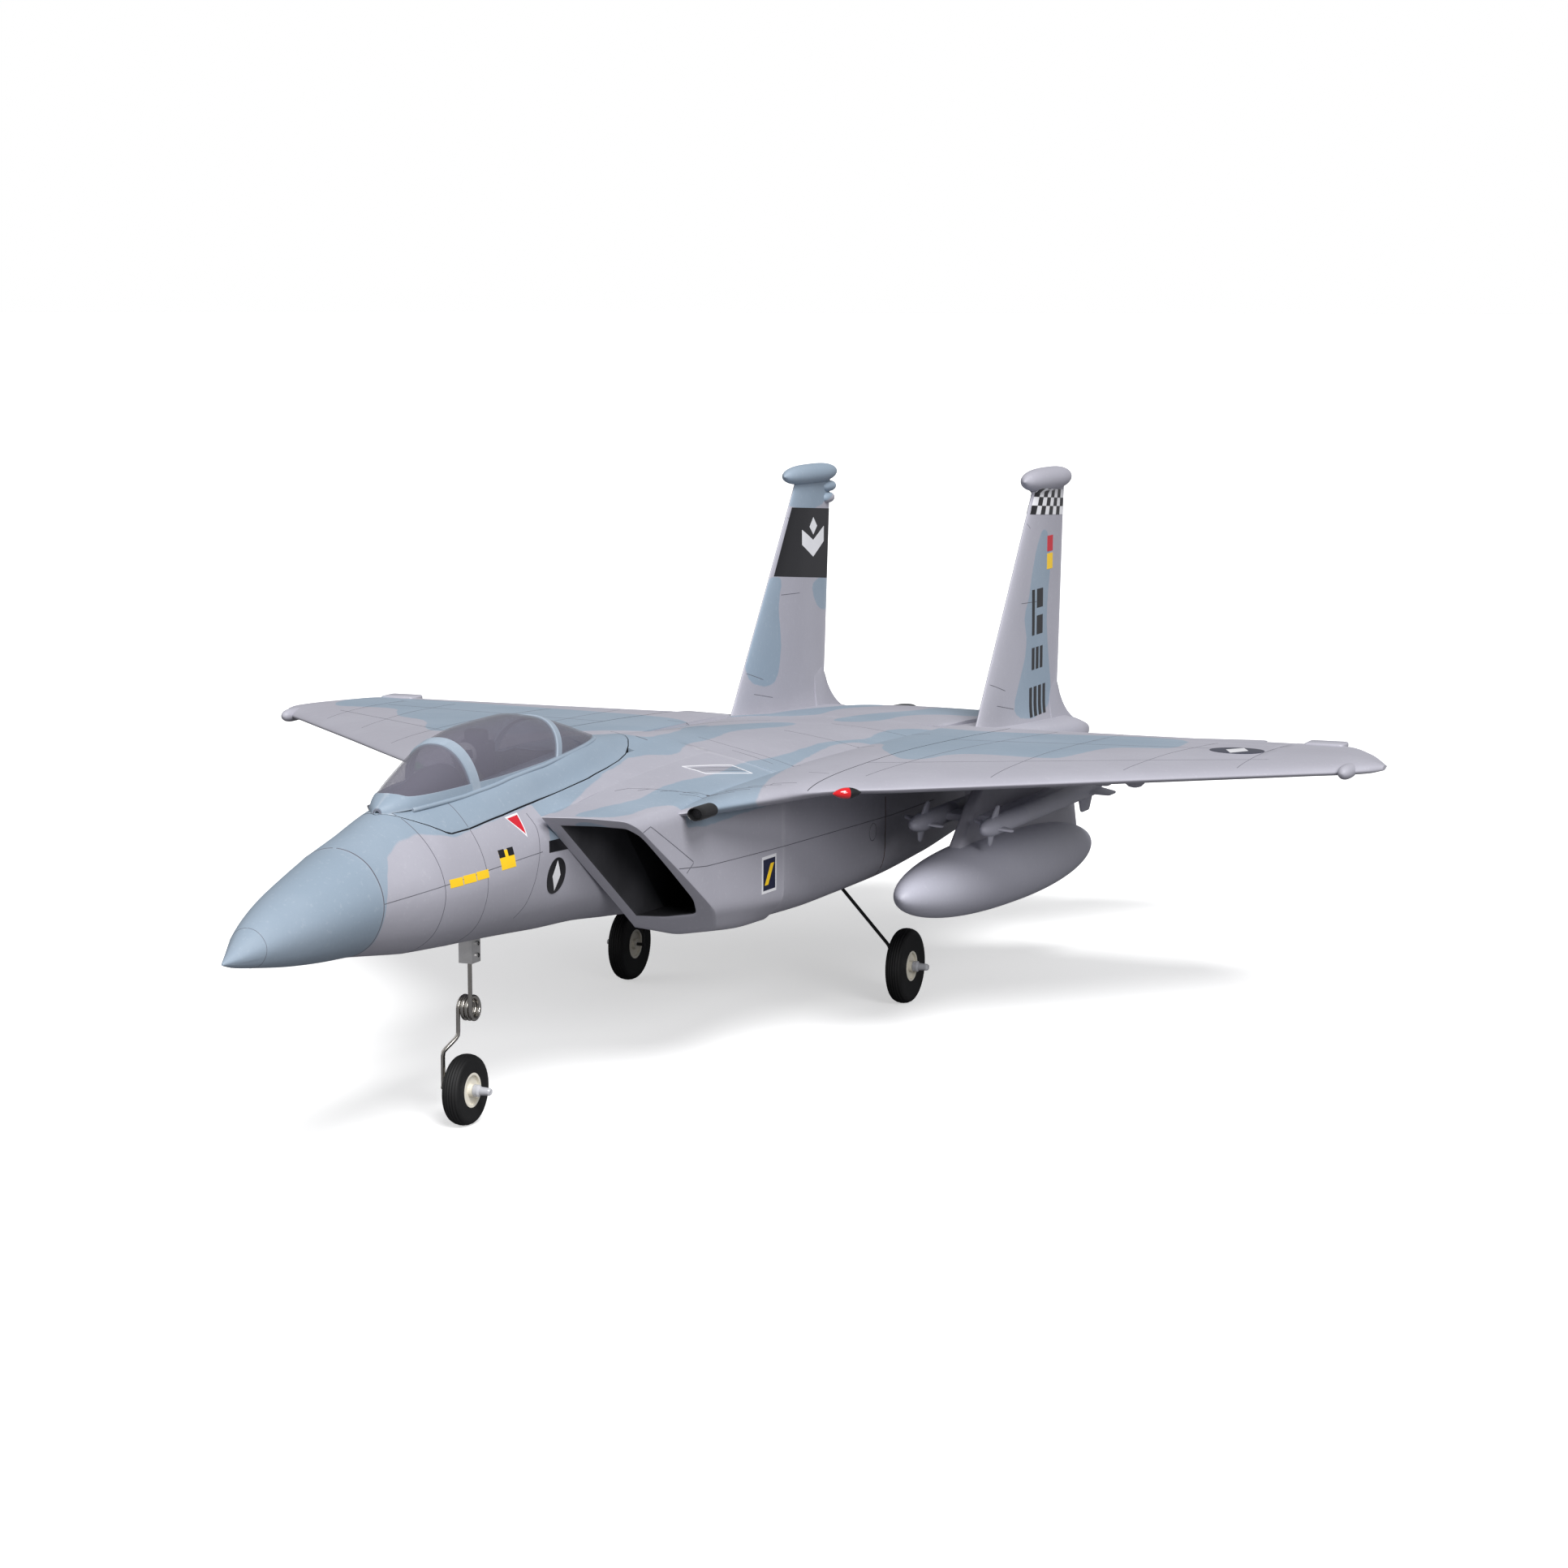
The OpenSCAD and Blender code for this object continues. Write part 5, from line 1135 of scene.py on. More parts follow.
hc = (0, 222, 65.5)
torso = []
for z, hx, hy in ((45, 7.4, 5.4), (48, 8.6, 6), (53, 9.4, 6.4), (56, 9.2, 6), (58, 7.2, 5), (59.6, 4.2, 3.8), (62, 3.4, 3.4)):
    a = np.linspace(0, 2 * math.pi, 32, endpoint=False)
    torso.append(np.stack([hx * np.sign(np.cos(a)) * abs(np.cos(a)) ** .8, 222.5 + hy * np.sin(a), np.full(32, z)], 1))
arms_ = [tube_geo([(s_ * 8.4, 222, 55.5), (s_ * 9.6, 219, 51.5), (s_ * 8.6, 213.5, 48.6), (s_ * 5, 208.5, 48.4)], [2.6, 2.4, 2.0, 1.7], 14) for s_ in (-1, 1)]
strap = [tube_geo([(s_ * 4.4, 216.4, 57.6), (s_ * 3.4, 215.6, 53), (s_ * 1.4, 216.2, 48.6)], .7, 8) for s_ in (-1, 1)]
hose = tube_geo([(0, 215.4, 62.4), (.6, 213.4, 60), (1.6, 213.2, 56), (3, 214.4, 51.4)], .9, 10)
pg_ = join_geo([loft_geo(torso) + (0,)] + [x + (0,) for x in arms_] + [x + (4,) for x in strap]
               + [blob_geo(hc, (6.1, 6.9, 6.7)) + (1,), band_geo(hc, (6.1, 6.9, 6.7), -1.25, 1.25, -.6, 3.6, .45) + (2,),
                  blob_geo((0, 217.1, 62.4), (2.7, 3.2, 2.9)) + (3,), hose + (3,)])
o = make("pilot_figure", pg_[0], pg_[1], [M["suit"], M["helmet"], M["visor"], M["mask"], M["black"]], pg_[2], body="canopy_hatch", slot="pilot_paint", sharp=50)
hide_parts("pilot_bust")

# ---------------------------------------------------------------- two-tone paint layout
# blue areas as listed polygons: plan view (x, y), fins (y, z), body side (y, z)
PLAN = [
    [(-48, 88), (48, 88), (48, 132), (40, 150), (34, 165), (31, 205), (31.5, 236), (31, 300), (27, 345), (20, 372), (-20, 372), (-27, 345), (-31, 300), (-31.5, 236), (-31, 205), (-34, 165), (-40, 150), (-48, 132)],
    [(30, 222), (36, 226), (43, 236), (40, 262), (34, 290), (30, 320), (29, 300), (29.6, 240)],
    [(8, 352), (24, 350), (27, 372), (36, 392), (27, 420), (26, 460), (16, 500), (12, 540), (14, 600), (4, 622), (-10, 606), (-30, 560), (-40, 600), (-52, 580), (-30, 540), (-14, 500), (2, 470), (10, 430), (12, 400), (-6, 388), (-14, 372)],
    [(50, 236), (62, 244), (70, 262), (70, 292), (82, 312), (104, 322), (104, 340), (93, 380), (84, 420), (78, 450), (70, 500), (62, 548), (68, 582), (88, 560), (92, 540), (112, 506), (126, 491), (136, 500),
     (140, 524), (154, 536), (196, 538), (202, 560), (206, 606), (222, 614), (238, 620), (240, 636), (232, 682), (190, 686), (130, 668), (96, 668), (70, 684), (54, 660), (56, 622), (64, 592), (56, 548), (62, 500), (66, 452), (62, 410), (66, 374), (58, 330), (62, 292), (54, 262)],
    [(-322, 628), (-300, 622), (-266, 620), (-252, 592), (-240, 576), (-212, 562), (-196, 528), (-182, 512), (-160, 520), (-140, 500), (-120, 508), (-96, 540), (-84, 560), (-60, 600), (-70, 640), (-120, 660), (-200, 676), (-300, 690), (-336, 690)],
    [(-58, 252), (-72, 262), (-70, 300), (-82, 330), (-76, 380), (-62, 430), (-66, 470), (-52, 500), (-46, 470), (-52, 420), (-60, 372), (-56, 320)],
    [(10, 660), (24, 668), (30, 700), (26, 742), (36, 772), (58, 786), (58, 846), (8, 846), (14, 790), (4, 740), (2, 700)],
    [(-30, 690), (-58, 700), (-84, 706), (-70, 742), (-60, 790), (-64, 846), (-20, 846), (-34, 790), (-26, 742), (-20, 716)],
    [(98, 735), (128, 752), (150, 786), (158, 830), (140, 868), (118, 872), (98, 850)], [(-98, 735), (-128, 752), (-150, 786), (-158, 830), (-140, 868), (-118, 872), (-98, 850)]]
SIDE_LINE = [(80, -60), (97.6, -30), (97.8, 0), (99, 14), (103, 24), (111, 32), (124, 37.4), (138, 39), (150, 38), (160, 35.6), (175, 36.6), (205, 38.6), (222, 40), (300, 45), (400, 45)]
FIN_L = [[(832, 142), (845, 136), (849, 112), (841, 92), (845, 62), (858, 26), (812, 20), (772, 27), (785, 44), (797, 60), (802, 73), (795, 87), (805, 97), (812, 116), (821, 131)]]
FIN_R = [[(772, 108), (797, 108), (786, 90), (792, 66), (785, 41), (766, 38), (735, 46), (750, 78)], [(842, 102), (880, 102), (880, 80), (862, 80), (850, 86)],
         [(790, 151), (880, 147), (900, 200), (780, 200)]]
FIN_OUT = [[(720, 16), (770, 30), (812, 60), (800, 92), (826, 120), (872, 118), (884, 60), (884, 20), (840, 8), (780, 8)]]


def signed(poly, p):
    """Signed distance to a polygon, positive inside."""
    poly = chaikin(poly, 2, .25)
    a, b = poly, np.roll(poly, -1, 0)
    best = np.full(len(p), 1e9)
    inside = np.zeros(len(p), bool)
    for q, r in zip(a, b):
        d = r - q
        t = np.clip(((p - q) @ d) / max(d @ d, 1e-9), 0, 1)
        best = np.minimum(best, np.linalg.norm(p - q - t[:, None] * d, axis=1))
        cr = ((q[1] > p[:, 1]) != (r[1] > p[:, 1]))
        xi = q[0] + (p[:, 1] - q[1]) / (d[1] if abs(d[1]) > 1e-9 else 1e-9) * d[0]
        inside ^= cr & (p[:, 0] < xi)
    return np.where(inside, best, -best)


def union(polys, p):
    out = np.full(len(p), -60.0)
    for q in polys:
        out = np.maximum(out, signed(q, p))
    return out


def camo(ob, kind="plan"):
    me = ob.data
    co = np.zeros(len(me.vertices) * 3)
    me.vertices.foreach_get("co", co)
    p = co.reshape(-1, 3) * 1000 - OFF
    x, y, z = p.T
    if kind == "all":
        v = np.full(len(p), 12.0)
    elif kind == "none":
        v = np.full(len(p), -12.0)
    elif kind == "left_fin":
        v = np.where(x > 82.4, union(FIN_L, p[:, 1:]), union(FIN_OUT, p[:, 1:]))
        v = np.where(z > 163, -8, v)
    elif kind == "right_fin":
        v = np.where(x > -82.4, union(FIN_R, p[:, 1:]), union(FIN_OUT, p[:, 1:]))
        v = np.where(z > 164, 8, v)
    else:
        v = union(PLAN, p[:, :2])
        edge = np.interp(y, [q[0] for q in SIDE_LINE], [q[1] for q in SIDE_LINE])
        side = np.where(y < 97.3, 8, z - edge)
        v = np.where(y < 236, np.minimum(np.maximum(v, -60), 60) * 0 + side, v)
        # undersides stay grey
        under = np.where((y > 236) & (np.abs(x) > 41) & (np.abs(x) < 98), z - np.interp(y, [240, 330, 420, 700, 845], [28, 20, 22, 14, 6]), 20)
        wing = np.where((np.abs(x) >= 98) & (y < 735), (z - 27.2) * 2, 20)
        low = np.where((np.abs(x) <= 41) & (y > 236) & (y < 700), z - 20, 20)
        v = np.minimum(v, np.minimum(np.minimum(under, wing), low))
    v = np.clip(v, -12, 12).astype(np.float32)
    at = me.attributes.get("camo") or me.attributes.new("camo", "FLOAT", "POINT")
    at.data.foreach_set("value", v)


def refine(ob, size):
    """Splits long edges so that the paint boundary has points to follow."""
    bm = bmesh.new()
    bm.from_mesh(ob.data)
    for _ in range(3):
        e = [e for e in bm.edges if e.calc_length() * 1000 > size]
        if not e:
            break
        bmesh.ops.subdivide_edges(bm, edges=e, cuts=1, use_grid_fill=True)
    bm.to_mesh(ob.data)
    bm.free()
    ob.data.update()


SK = {o.name: o for o in scene.objects if o.type == "MESH" and not o.get("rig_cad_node")}
for n_, o in SK.items():
    if o.data.materials and o.data.materials[0] == M["foam"]:
        if "panel" in n_ and "fittings" not in n_:
            refine(o, 7.0)
        if n_ in ("canopy_frames", "nose_cone_shell", "canopy_hatch_shell"):
            camo(o, "all")
        elif "fin" in n_:
            camo(o, "left_fin" if n_.startswith("left") else "right_fin")
        elif n_ == "store_pylons":
            camo(o, "none")
        else:
            camo(o)

# ---------------------------------------------------------------- lines and markings laid on the skins
TREES = {}


def tree(names):
    key = tuple(names)
    if key not in TREES:
        vs, ps, n = [], [], 0
        for k in names:
            me = SK[k].data
            vs += [v.co[:] for v in me.vertices]
            ps += [tuple(i + n for i in p.vertices) for p in me.polygons]
            n += len(me.vertices)
        TREES[key] = BVHTree.FromPolygons(vs, ps)
    return TREES[key]


def drop(names, p, d):
    """First hit on the skins from design point p along direction d."""
    o = Vector(row(p)); d = Vector(d).normalized()
    hit = tree(names).ray_cast(o, d, 0.4)
    return (np.array(hit[0]) * 1000 - OFF, np.array(hit[1] if hit[1].dot(d) < 0 else -hit[1])) if hit[0] else None


def side_dir(far):
    """Rays start outside a skin: from beyond the fins they run inwards, from between the fins outwards."""
    return (-1 if far > 0 else 1) * (1 if abs(far) > 82.4 else -1)


def lay(pts2, plane, far, names, closed=False, step=2.0):
    """Projects a 2-D polyline onto the skins. plane xy drops along -Z from z=far (or up), plane yz looks along X from x=far."""
    q = np.asarray(pts2, float)
    if closed:
        q = np.vstack([q, q[:1]])
    L_ = np.linalg.norm(np.diff(q, axis=0), axis=1).sum()
    q = resample(q, max(2, int(L_ / step) + 1))
    out = []
    for a, b in q:
        if plane == "xy":
            r = drop(names, (a, b, far), (0, 0, -1 if far > 20 else 1))
        elif plane == "yz":
            r = drop(names, (far, a, b), (side_dir(far), 0, 0))
        else:
            r = drop(names, (a, far, b), (0, 1, 0))
        out.append(r)
    return out


def ribbon(hits, width, lift=0.07, depth=0.25):
    """Thin closed strips along runs of hits."""
    gs, run = [], []
    for h in hits + [None]:
        if h is not None and (not run or np.linalg.norm(h[0] - run[-1][0]) < 9):
            run.append(h)
            continue
        if len(run) > 1:
            p = np.array([r[0] for r in run]); n_ = np.array([r[1] for r in run])
            t = np.gradient(p, axis=0); t /= np.linalg.norm(t, axis=1)[:, None] + 1e-9
            b = np.cross(n_, t); b /= np.linalg.norm(b, axis=1)[:, None] + 1e-9
            w = width / 2
            gs.append(loft_geo(np.stack([p + n_ * lift - b * w, p + n_ * lift + b * w, p - n_ * depth + b * w, p - n_ * depth - b * w], 1)))
        run = [h] if h is not None else []
    return gs


def sticker(outline, plane, far, names, lift=0.12, cell=1.2, thick=0.2):
    """A filled shape laid on the skin as a thin closed film."""
    o = np.asarray(outline, float)
    lo, hi = o.min(0), o.max(0)
    bm = bmesh.new()
    bm.faces.new([bm.verts.new((a, b, 0)) for a, b in o])
    for ax in (0, 1):
        for c_ in np.arange(lo[ax] + cell, hi[ax], cell):
            no = (1, 0, 0) if ax == 0 else (0, 1, 0)
            pt = (c_, 0, 0) if ax == 0 else (0, c_, 0)
            bmesh.ops.bisect_plane(bm, geom=bm.verts[:] + bm.edges[:] + bm.faces[:], plane_co=pt, plane_no=no, dist=1e-5)
    bm.verts.ensure_lookup_table()
    top, bot, ok = [], [], []
    for v in bm.verts:
        a, b = v.co.x, v.co.y
        r = (drop(names, (a, b, far), (0, 0, -1 if far > 20 else 1)) if plane == "xy" else drop(names, (far, a, b), (side_dir(far), 0, 0)))
        ok.append(r is not None)
        top.append(r[0] + r[1] * lift if r else (0, 0, 0)); bot.append(r[0] + r[1] * (lift - thick) if r else (0, 0, 0))
    n_ = len(top)
    fs = []
    edges = {}
    for f_ in bm.faces:
        ids_ = [v.index for v in f_.verts]
        if not all(ok[i] for i in ids_):
            continue
        q = np.array([top[i] for i in ids_])
        if np.linalg.norm(q - q.mean(0), axis=1).max() > cell * 4 + 2:
            continue
        fs.append(tuple(ids_)); fs.append(tuple(i + n_ for i in reversed(ids_)))
        for i, j in zip(ids_, ids_[1:] + ids_[:1]):
            edges[(i, j)] = edges.get((i, j), 0) + 1
    for (i, j) in list(edges):
        if (j, i) not in edges:
            fs.append((i, i + n_, j + n_, j))
    bm.free()
    used = sorted({i for f_ in fs for i in f_})
    mp_ = {i: k for k, i in enumerate(used)}
    allv = np.array(list(top) + list(bot), float)
    return allv[used], [tuple(mp_[i] for i in f_) for f_ in fs]


bm0 = bmesh.new(); bm0.free()
BODY = ["fuselage_shell", "canopy_hatch_shell", "left_intake_trunk", "right_intake_trunk", "left_wing_panel", "right_wing_panel", "nose_cone_shell",
        "left_tail_boom", "right_tail_boom"]
TAIL = ["left_fin_shell", "right_fin_shell"]
LN = {"line": [], "gap": [], "brown": [], "white": []}


def ringline(y, w=.42, key="line", names=BODY, z0=-60):
    """A seam round the body at station y, from both sides."""
    for sx in (1, -1):
        a = np.linspace(-88, 88, 90)
        pts = []
        for t in np.radians(a):
            c_ = Vector(row((0, y, 8)))
            d = Vector((sx * math.cos(t), 0, math.sin(t)))
            start = c_ + d * .09
            hit = tree(names).ray_cast(start, -d, .2)
            if hit[0]:
                n_ = hit[1] if hit[1].dot(d) > 0 else -hit[1]
                pts.append((np.array(hit[0]) * 1000 - OFF, np.array(n_)))
        LN[key] += ribbon(pts, w)


for y, w_ in ((97, .6), (140, .36), (175, .36)):
    ringline(y, w_, names=["fuselage_shell", "canopy_hatch_shell"])
ringline(21, .2, names=["nose_cone_shell"])
for sx in (1, -1):
    S = sx * 200
    F = ["fuselage_shell"]
    T = ["left_intake_trunk" if sx > 0 else "right_intake_trunk", "fuselage_shell"]
    W = ["left_wing_panel" if sx > 0 else "right_wing_panel"]
    seg = lambda pts, **k: [np.array(p) for p in pts]
    # half-shell seam of the forebody and of the nacelle, hatch-side panel joints
    for pts, nm, w_ in (([(97.5, 13), (140, 15.5), (175, 17.4), (228, 19)], F, .34), ([(226, 38), (227, 31), (225, 18), (222, 6), (217, -6), (211, -12)], F, .36),
                        ([(300, 2), (330, -1), (430, -4), (575, -8), (640, -8)], T, .38)):
        LN["line"] += ribbon(lay(pts, "yz", S, nm), w_)
    LN["brown"] += ribbon(lay([(564, 4), (565, -20), (567, -44)], "yz", S, T), .8)
    a = np.linspace(0, 2 * math.pi, 40)
    LN["line"] += ribbon(lay(np.column_stack([546 + 5 * np.cos(a), -14 + 5 * np.sin(a)]), "yz", S, T, step=.8), .34)
    # diagonal plate on the trunk cheek and its notch
    LN["line"] += ribbon(lay([(262, 25), (272, 27.5), (316, 3), (308, -1.5)], "yz", S, T), .42)
        # deck, fairing and wing joints
    D = lambda pts, w_=.34, nm=BODY: LN["line"].extend(ribbon(lay([(sx * p[0], p[1]) for p in pts], "xy", 110, nm), w_))
    LN["gap"] += ribbon(lay([(sx * 113, 388), (sx * 113, 520), (sx * 113, 697)], "xy", 110, W), .36)
    for k in range(4):
        x0 = 46 + 8 * k
        D([(x0, 296 + 10 * k), (x0 + 3, 306 + 9 * k), (x0 + 14, 318 + 7 * k)], .26)
    for k in range(5):
        D([(70 + 7 * k, 322 + 13 * k), (78 + 5 * k, 330 + 12 * k), (90 + 4 * k, 346 + 11 * k)], .28)
    for p in ([(46, 440), (72, 436)], [(20, 452), (84, 446)], [(24, 560), (84, 552)], [(20, 640), (86, 634)], [(100, 420), (110, 424)],
              [(128, 432), (146, 690)], [(113, 470), (300, 606)], [(185, 470), (185, 672)], [(291, 575), (291, 672)], [(240, 530), (252, 668)], [(113, 600), (285, 640)]):
        D(p, .28)
    LN["line"] += ribbon(lay([(sx * 185, 671.6), (sx * 291, 671.6)], "xy", 110, W), .5)
    # louvre plate on the deck
    pl = [(sx * 48, 372), (sx * 62, 371), (sx * 75, 402), (sx * 62, 404)]
    LN["white"] += ribbon(lay(pl, "xy", 110, BODY, closed=True, step=1), .9, .2)
    for t in (.3, .5, .7):
        LN["line"] += ribbon(lay([(sx * (48 + 14 * t), 372 - t), (sx * (62 + 13 * t), 403.6 - t)], "xy", 110, BODY, step=1), .4, .1)
    for p in ([(740, 50), (762, 44)], [(748, 36), (776, 31)], [(806, 146), (810, 142)], [(792, 96), (822, 95)]):
        for far in (sx * 110, sx * 60):
            LN["line"] += ribbon(lay(p, "yz", far if abs(far) > 82.4 else far, TAIL, step=1), .34)
# small slot behind the canopy and the hump joint
LN["line"] += ribbon(lay([(8, 398), (14, 400)], "xy", 110, BODY, step=1), .9)
for key, mt in (("line", "line"), ("gap", "gap"), ("brown", "brown"), ("white", "decal_white")):
    g_ = [x for x in LN[key] if len(x[0])]
    if g_:
        v_, f_, _ = join_geo(g_)
        make("seams_" + key, v_, f_, [M[mt]], slot="dark_plastic", sharp=60, weld=False)

# ---- markings, all generic
ST = {}


def put(mat, outline, plane, far, names, **kw):
    v_, f_ = sticker(outline, plane, far, names, **kw)
    if len(f_):
        ST.setdefault(mat, []).append((v_, f_))


def disc(c_, r, n=28, ph=0.0, sq=1.0):
    a = np.linspace(0, 2 * math.pi, n, endpoint=False) + ph
    return np.column_stack([c_[0] + r * np.cos(a), c_[1] + r * sq * np.sin(a)])


def rect(a0, b0, a1, b1):
    return [(a0, b0), (a1, b0), (a1, b1), (a0, b1)]


for sx in (1, -1):
    S = sx * 200
    T = ["left_intake_trunk" if sx > 0 else "right_intake_trunk", "fuselage_shell"]
    FW = ["fuselage_shell", "canopy_hatch_shell"]
    F_ONLY = ["fuselage_shell"]
    # three yellow bars, a small two-tone tag and a plain red wedge
    for k in range(3):
        put("decal_yellow", rect(144 + k * 11, 13.6 + .25 * k, 154.2 + k * 11, 17.6 + .25 * k), "yz", S, FW, cell=1.6)
    put("decal_yellow", rect(188.6, 15.6, 202, 24.6), "yz", S, FW, cell=1.6)
    for b0, b1 in ((188.6, 193.8), (196.8, 202)):
        put("decal_black", rect(b0, 21.4, b1, 25.2), "yz", S, FW, cell=1.6, lift=.2)
    put("decal_white", [(206.6, 38.5), (218.8, 39.2), (217.2, 27.6)], "yz", S, F_ONLY, cell=1.4)
    put("decal_red", [(208, 37.7), (217.7, 38.3), (216.7, 29.4)], "yz", S, F_ONLY, cell=1.4, lift=.2)
    # plain dark disc with a pale lozenge
    put("decal_black", disc((243.4, 4.7), 9.2), "yz", S, FW, cell=1.6, lift=.25)
    put("decal_white", [(243.4, 12.4), (247.4, 4.7), (243.4, -3), (239.4, 4.7)], "yz", S, FW, cell=1.6, lift=.33)
    # black patch beside the intake: painted shade for the gap between the intake's inner wall and the fuselage
    put("decal_black", [(234.7, 23.4), (250.3, 23.1), (261.4, 19), (265.6, 16.1), (234.6, 17.5)], "yz", S, F_ONLY, cell=2.4)
    # plain panel with a slanted stripe on the nacelle
    put("decal_white", rect(393.4, -26, 410.6, -6), "yz", S, T, cell=2)
    put("decal_navy", rect(394.8, -24.4, 409.2, -7.6), "yz", S, T, cell=2, lift=.2)
    put("decal_yellow", [(396.4, -21.6), (400.4, -21.6), (407.6, -10.4), (403.6, -10.4)], "yz", S, T, cell=2, lift=.28)
    W = ["left_wing_panel" if sx > 0 else "right_wing_panel"]
    if sx > 0:
        put("decal_navy", disc((275, 629), 15.6, sq=1.0), "xy", 110, W, cell=3, lift=.24)
        put("decal_white", [(275, 643), (281.6, 629), (275, 615), (268.4, 629)], "xy", 110, W, cell=3, lift=.31)
L_, R_ = ["left_fin_shell"], ["right_fin_shell"]


def fin_le(z):
    return float(np.interp(z, [30, 169], [722.5, 822.6]))


def fin_te(z):
    return float(np.interp(z, [30, 169], [867.5, 879]))


def warp(u, v, z0=(147, 151), z1=(163, 167)):
    """u from leading to trailing edge, v from the band's lower line to its upper line."""
    zl, zt = z0[1] + (z1[1] - z0[1]) * v, z0[0] + (z1[0] - z0[0]) * v
    z = zl + (zt - zl) * u
    return (fin_le(z) + .6 + (fin_te(z) - fin_le(z) - 1.2) * u, z)


for far in (110, 60):
    put("decal_white", [warp(0.02, 0), warp(.98, 0), warp(.98, 1), warp(.02, 1)], "yz", far, L_, cell=2.4)
    for i in range(8):
        for j in range(3):
            if (i + j) % 2 == 0:
                u0, u1, v0, v1 = i / 8 * .96 + .02, (i + 1) / 8 * .96 + .02, j / 3, (j + 1) / 3
                put("decal_black", [warp(u0, v0), warp(u1, v0), warp(u1, v1), warp(u0, v1)], "yz", far, L_, cell=2.4, lift=.2)
for far in (-110, -60):
    b0, b1 = (101, 109), (147, 151.5)
    put("decal_black", [warp(.035, 0, b0, b1), warp(1.0, 0, b0, b1), warp(1.0, 1, b0, b1), warp(.035, 1, b0, b1)], "yz", far, R_, cell=3)
    ch = [(826, 136), (846, 128), (866, 136), (866, 126), (846, 117), (826, 126)]
    put("decal_white", ch, "yz", far, R_, cell=2.4, lift=.22)
    put("decal_white", [(846, 143), (853, 137), (846, 131.6), (839, 137)], "yz", far, R_, cell=2.4, lift=.22)
for far in (110, 60):
    put("decal_yellow", rect(841, 114, 853, 124), "yz", far, L_, cell=2.4)
    put("decal_red", rect(841, 125.4, 853, 135.4), "yz", far, L_, cell=2.4)
# plain dark bars where the original carries its codes
for far, nm in ((110, L_), (-110, R_)):
    for a0, a1, z0, z1 in ((811, 816, 74, 103), (820.5, 833, 74, 86), (820.5, 833, 91, 103), (811, 816.5, 52, 66), (819.5, 825, 52, 66), (828, 833.5, 52, 66),
                           (806.5, 812, 22, 41), (815.5, 821.5, 22, 41), (825, 831, 22, 41), (834.5, 840, 22, 41)):
        put("decal_black" if far > 0 else "line", rect(a0, z0, a1, z1), "yz", far, nm, cell=3)
for k, gs in ST.items():
    v_, f_, _ = join_geo(gs)
    make("marking_" + k[6:] if k.startswith("decal_") else "marking_" + k, v_, f_, [M[k]], slot="foam_grey", sharp=60, weld=False)

# ---------------------------------------------------------------- lights and small trim
def almond(cx, cy, cz_, hw, hl, hh, y0, y1):
    """Pointed lens shape; only the stretch from y0 to y1 along its length (0 to 1) is built."""
    rs_ = []
    for u in np.linspace(y0, y1, 22):
        k = max(.03, 1 - abs(2 * u - 1) ** 2.2)
        a = np.linspace(0, 2 * math.pi, 32, endpoint=False)
        rs_.append(np.stack([cx + hw * k * np.cos(a), np.full(32, cy + hl * (2 * u - 1)), cz_ + hh * k * np.sin(a)], 1))
    return loft_geo(rs_)


for sx, side_ in ((1, "left"), (-1, "right")):
    skew = Matrix.Rotation(-sx * math.radians(45), 3, "Z")
    g0_, g1_ = almond(0, 0, 0, 3.2, 8.4, 3.0, .02, .56), almond(0, 0, 0, 3.2, 8.4, 3.0, .56, .99)
    both_ = []
    for g_, i_ in ((g0_, 0), (g1_, 1)):
        v_ = np.array([skew @ Vector(p) for p in g_[0]]) + [sx * 129.4, 402.4, 30.0]
        both_.append((v_, g_[1], i_))
    g_ = join_geo(both_)
    o = make(side_ + "_nav_lens", g_[0], g_[1], [M["red" if sx > 0 else "green"], M["black"]], g_[2], slot="red_light" if sx > 0 else "green_light", sharp=70)
    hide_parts(side_ + "_nav_light")
gs_ = []
for z in (-29, -35):
    gs_.append(lathe_geo([(.02, 3.3), (1.15, 3.3), (1.2, 4.3), (1.05, 4.55), (.55, 4.6), (.5, 4.2), (.02, 4.2)], (0, 225.6, z), "x", 24))
sg = join_geo(gs_)
make("block_grub_screws", sg[0], sg[1], [M["black"]], body="nose_strut", slot="black_plastic", sharp=40)
ins, base_ = [], []
for sx in (1, -1):
    v_, f_ = lathe_geo([(3.4, 300), (3.9, 299.6), (4.3, 300.4), (4.5, 304), (4.4, 318), (3.4, 318), (3.2, 304)], (0, 0, 0), "y", 36, wrap=True)
    d_, e_ = lathe_geo([(.02, 303.2), (3.5, 303.2), (3.5, 305), (.02, 305)], (0, 0, 0), "y", 24)
    for a_, b_ in ((v_, f_), (d_, e_)):
        a_ = np.asarray(a_) * [1.05, 1, .82] + [89 * sx, 0, 30.4]
        ins.append((a_, b_))
ig = join_geo(ins)
o = make("root_inserts", ig[0], ig[1], [M["black"]], slot="black_plastic", sharp=50)
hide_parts("wing_root_inserts")

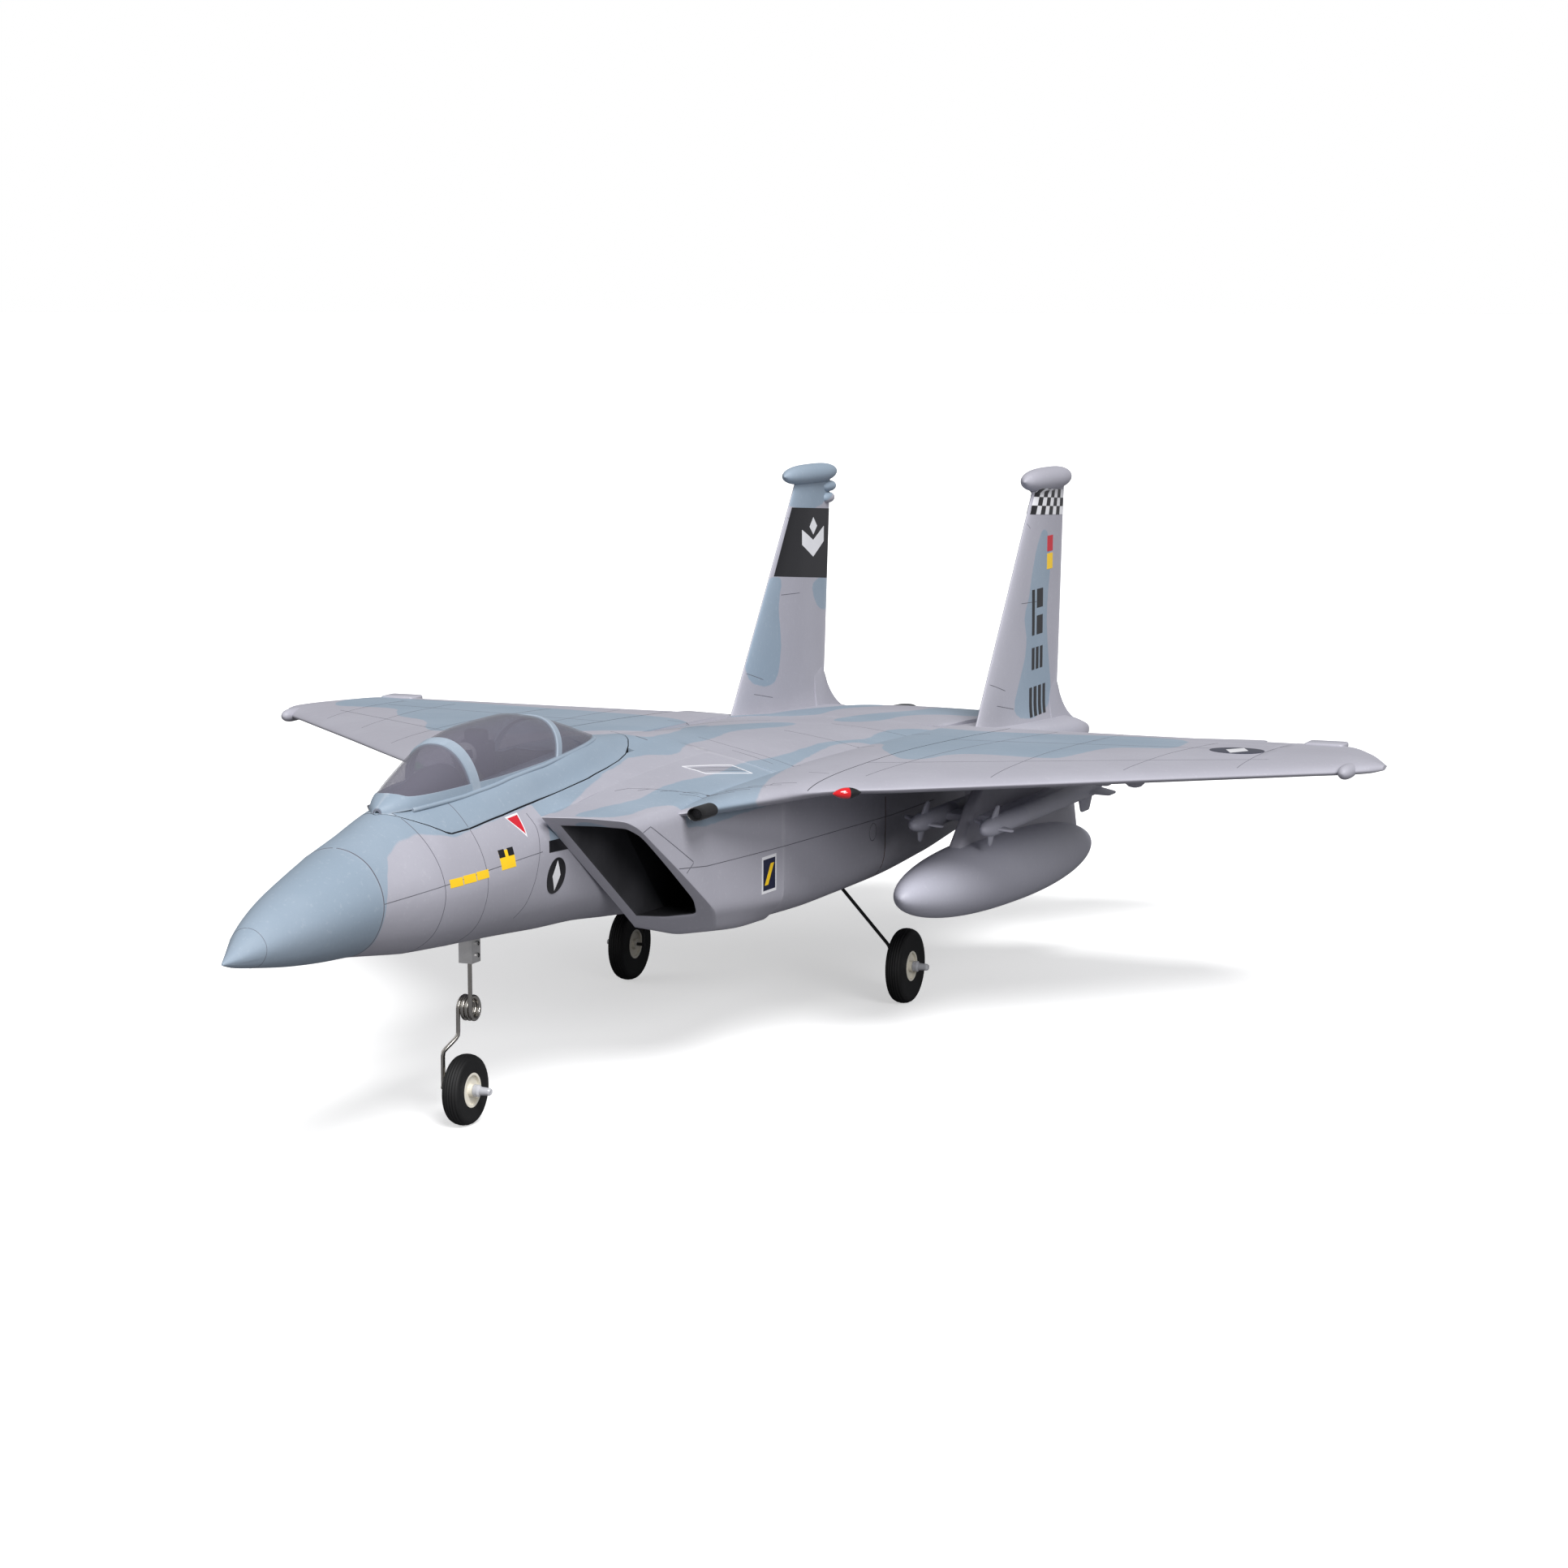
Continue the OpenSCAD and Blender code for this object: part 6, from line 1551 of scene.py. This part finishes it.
# ---------------------------------------------------------------- floor and light
me = bpy.data.meshes.new("floor")
me.from_pydata([(-30, -20, 0), (30, -20, 0), (30, 40, 0), (-30, 40, 0)], [], [(0, 1, 2, 3)])
floor = bpy.data.objects.new("floor", me)
scene.collection.objects.link(floor)
fm = Mat("floor", rough=0.95, spec=0.1, color=(.8, .8, .8))
fm.color(fm.mix(fm.noise(2, 2, .5), (.79, .79, .79), (.82, .82, .82)))
fm.set("Emission Color", (1, 1, 1, 1))
fm.set("Emission Strength", 0.5)
# the paper sweep looks white but throws little light back up
soft = fm.t.nodes.new("ShaderNodeBsdfDiffuse")
soft.inputs["Color"].default_value = (.2, .2, .21, 1)
pick = fm.t.nodes.new("ShaderNodeMixShader")
fm.t.links.new(fm.t.nodes.new("ShaderNodeLightPath").outputs["Is Camera Ray"], pick.inputs[0])
fm.t.links.new(soft.outputs[0], pick.inputs[1])
fm.t.links.new(fm.b.outputs[0], pick.inputs[2])
fm.t.links.new(pick.outputs[0], fm.t.nodes["Material Output"].inputs["Surface"])
me.materials.append(fm.m)
world = bpy.data.worlds.new("studio")
scene.world = world
world.use_nodes = True
wt = world.node_tree
bg1 = wt.nodes["Background"]
bg1.inputs["Color"].default_value = (.97, .98, 1, 1)
bg1.inputs["Strength"].default_value = 0.31
bg2 = wt.nodes.new("ShaderNodeBackground")
bg2.inputs["Color"].default_value = (1, 1, 1, 1)
bg2.inputs["Strength"].default_value = 1.0
mx = wt.nodes.new("ShaderNodeMixShader")
wt.links.new(wt.nodes.new("ShaderNodeLightPath").outputs["Is Camera Ray"], mx.inputs[0])
wt.links.new(bg1.outputs[0], mx.inputs[1])
wt.links.new(bg2.outputs[0], mx.inputs[2])
wt.links.new(mx.outputs[0], wt.nodes["World Output"].inputs["Surface"])


def sun(name, frm, power, angle):
    L = bpy.data.lights.new(name, "SUN")
    L.energy, L.angle = power, math.radians(angle)
    o_ = bpy.data.objects.new(name, L)
    scene.collection.objects.link(o_)
    o_.location = Vector(frm) * 3
    o_.rotation_mode = "QUATERNION"
    o_.rotation_quaternion = (-Vector(frm)).to_track_quat("-Z", "Y")
    return o_


sun("key", (.42, -.5, .78), 3.25, 26)
sun("front", (.66, -.58, .34), 1.15, 22)
sun("fill", (-.75, -.45, .5), 0.5, 50)
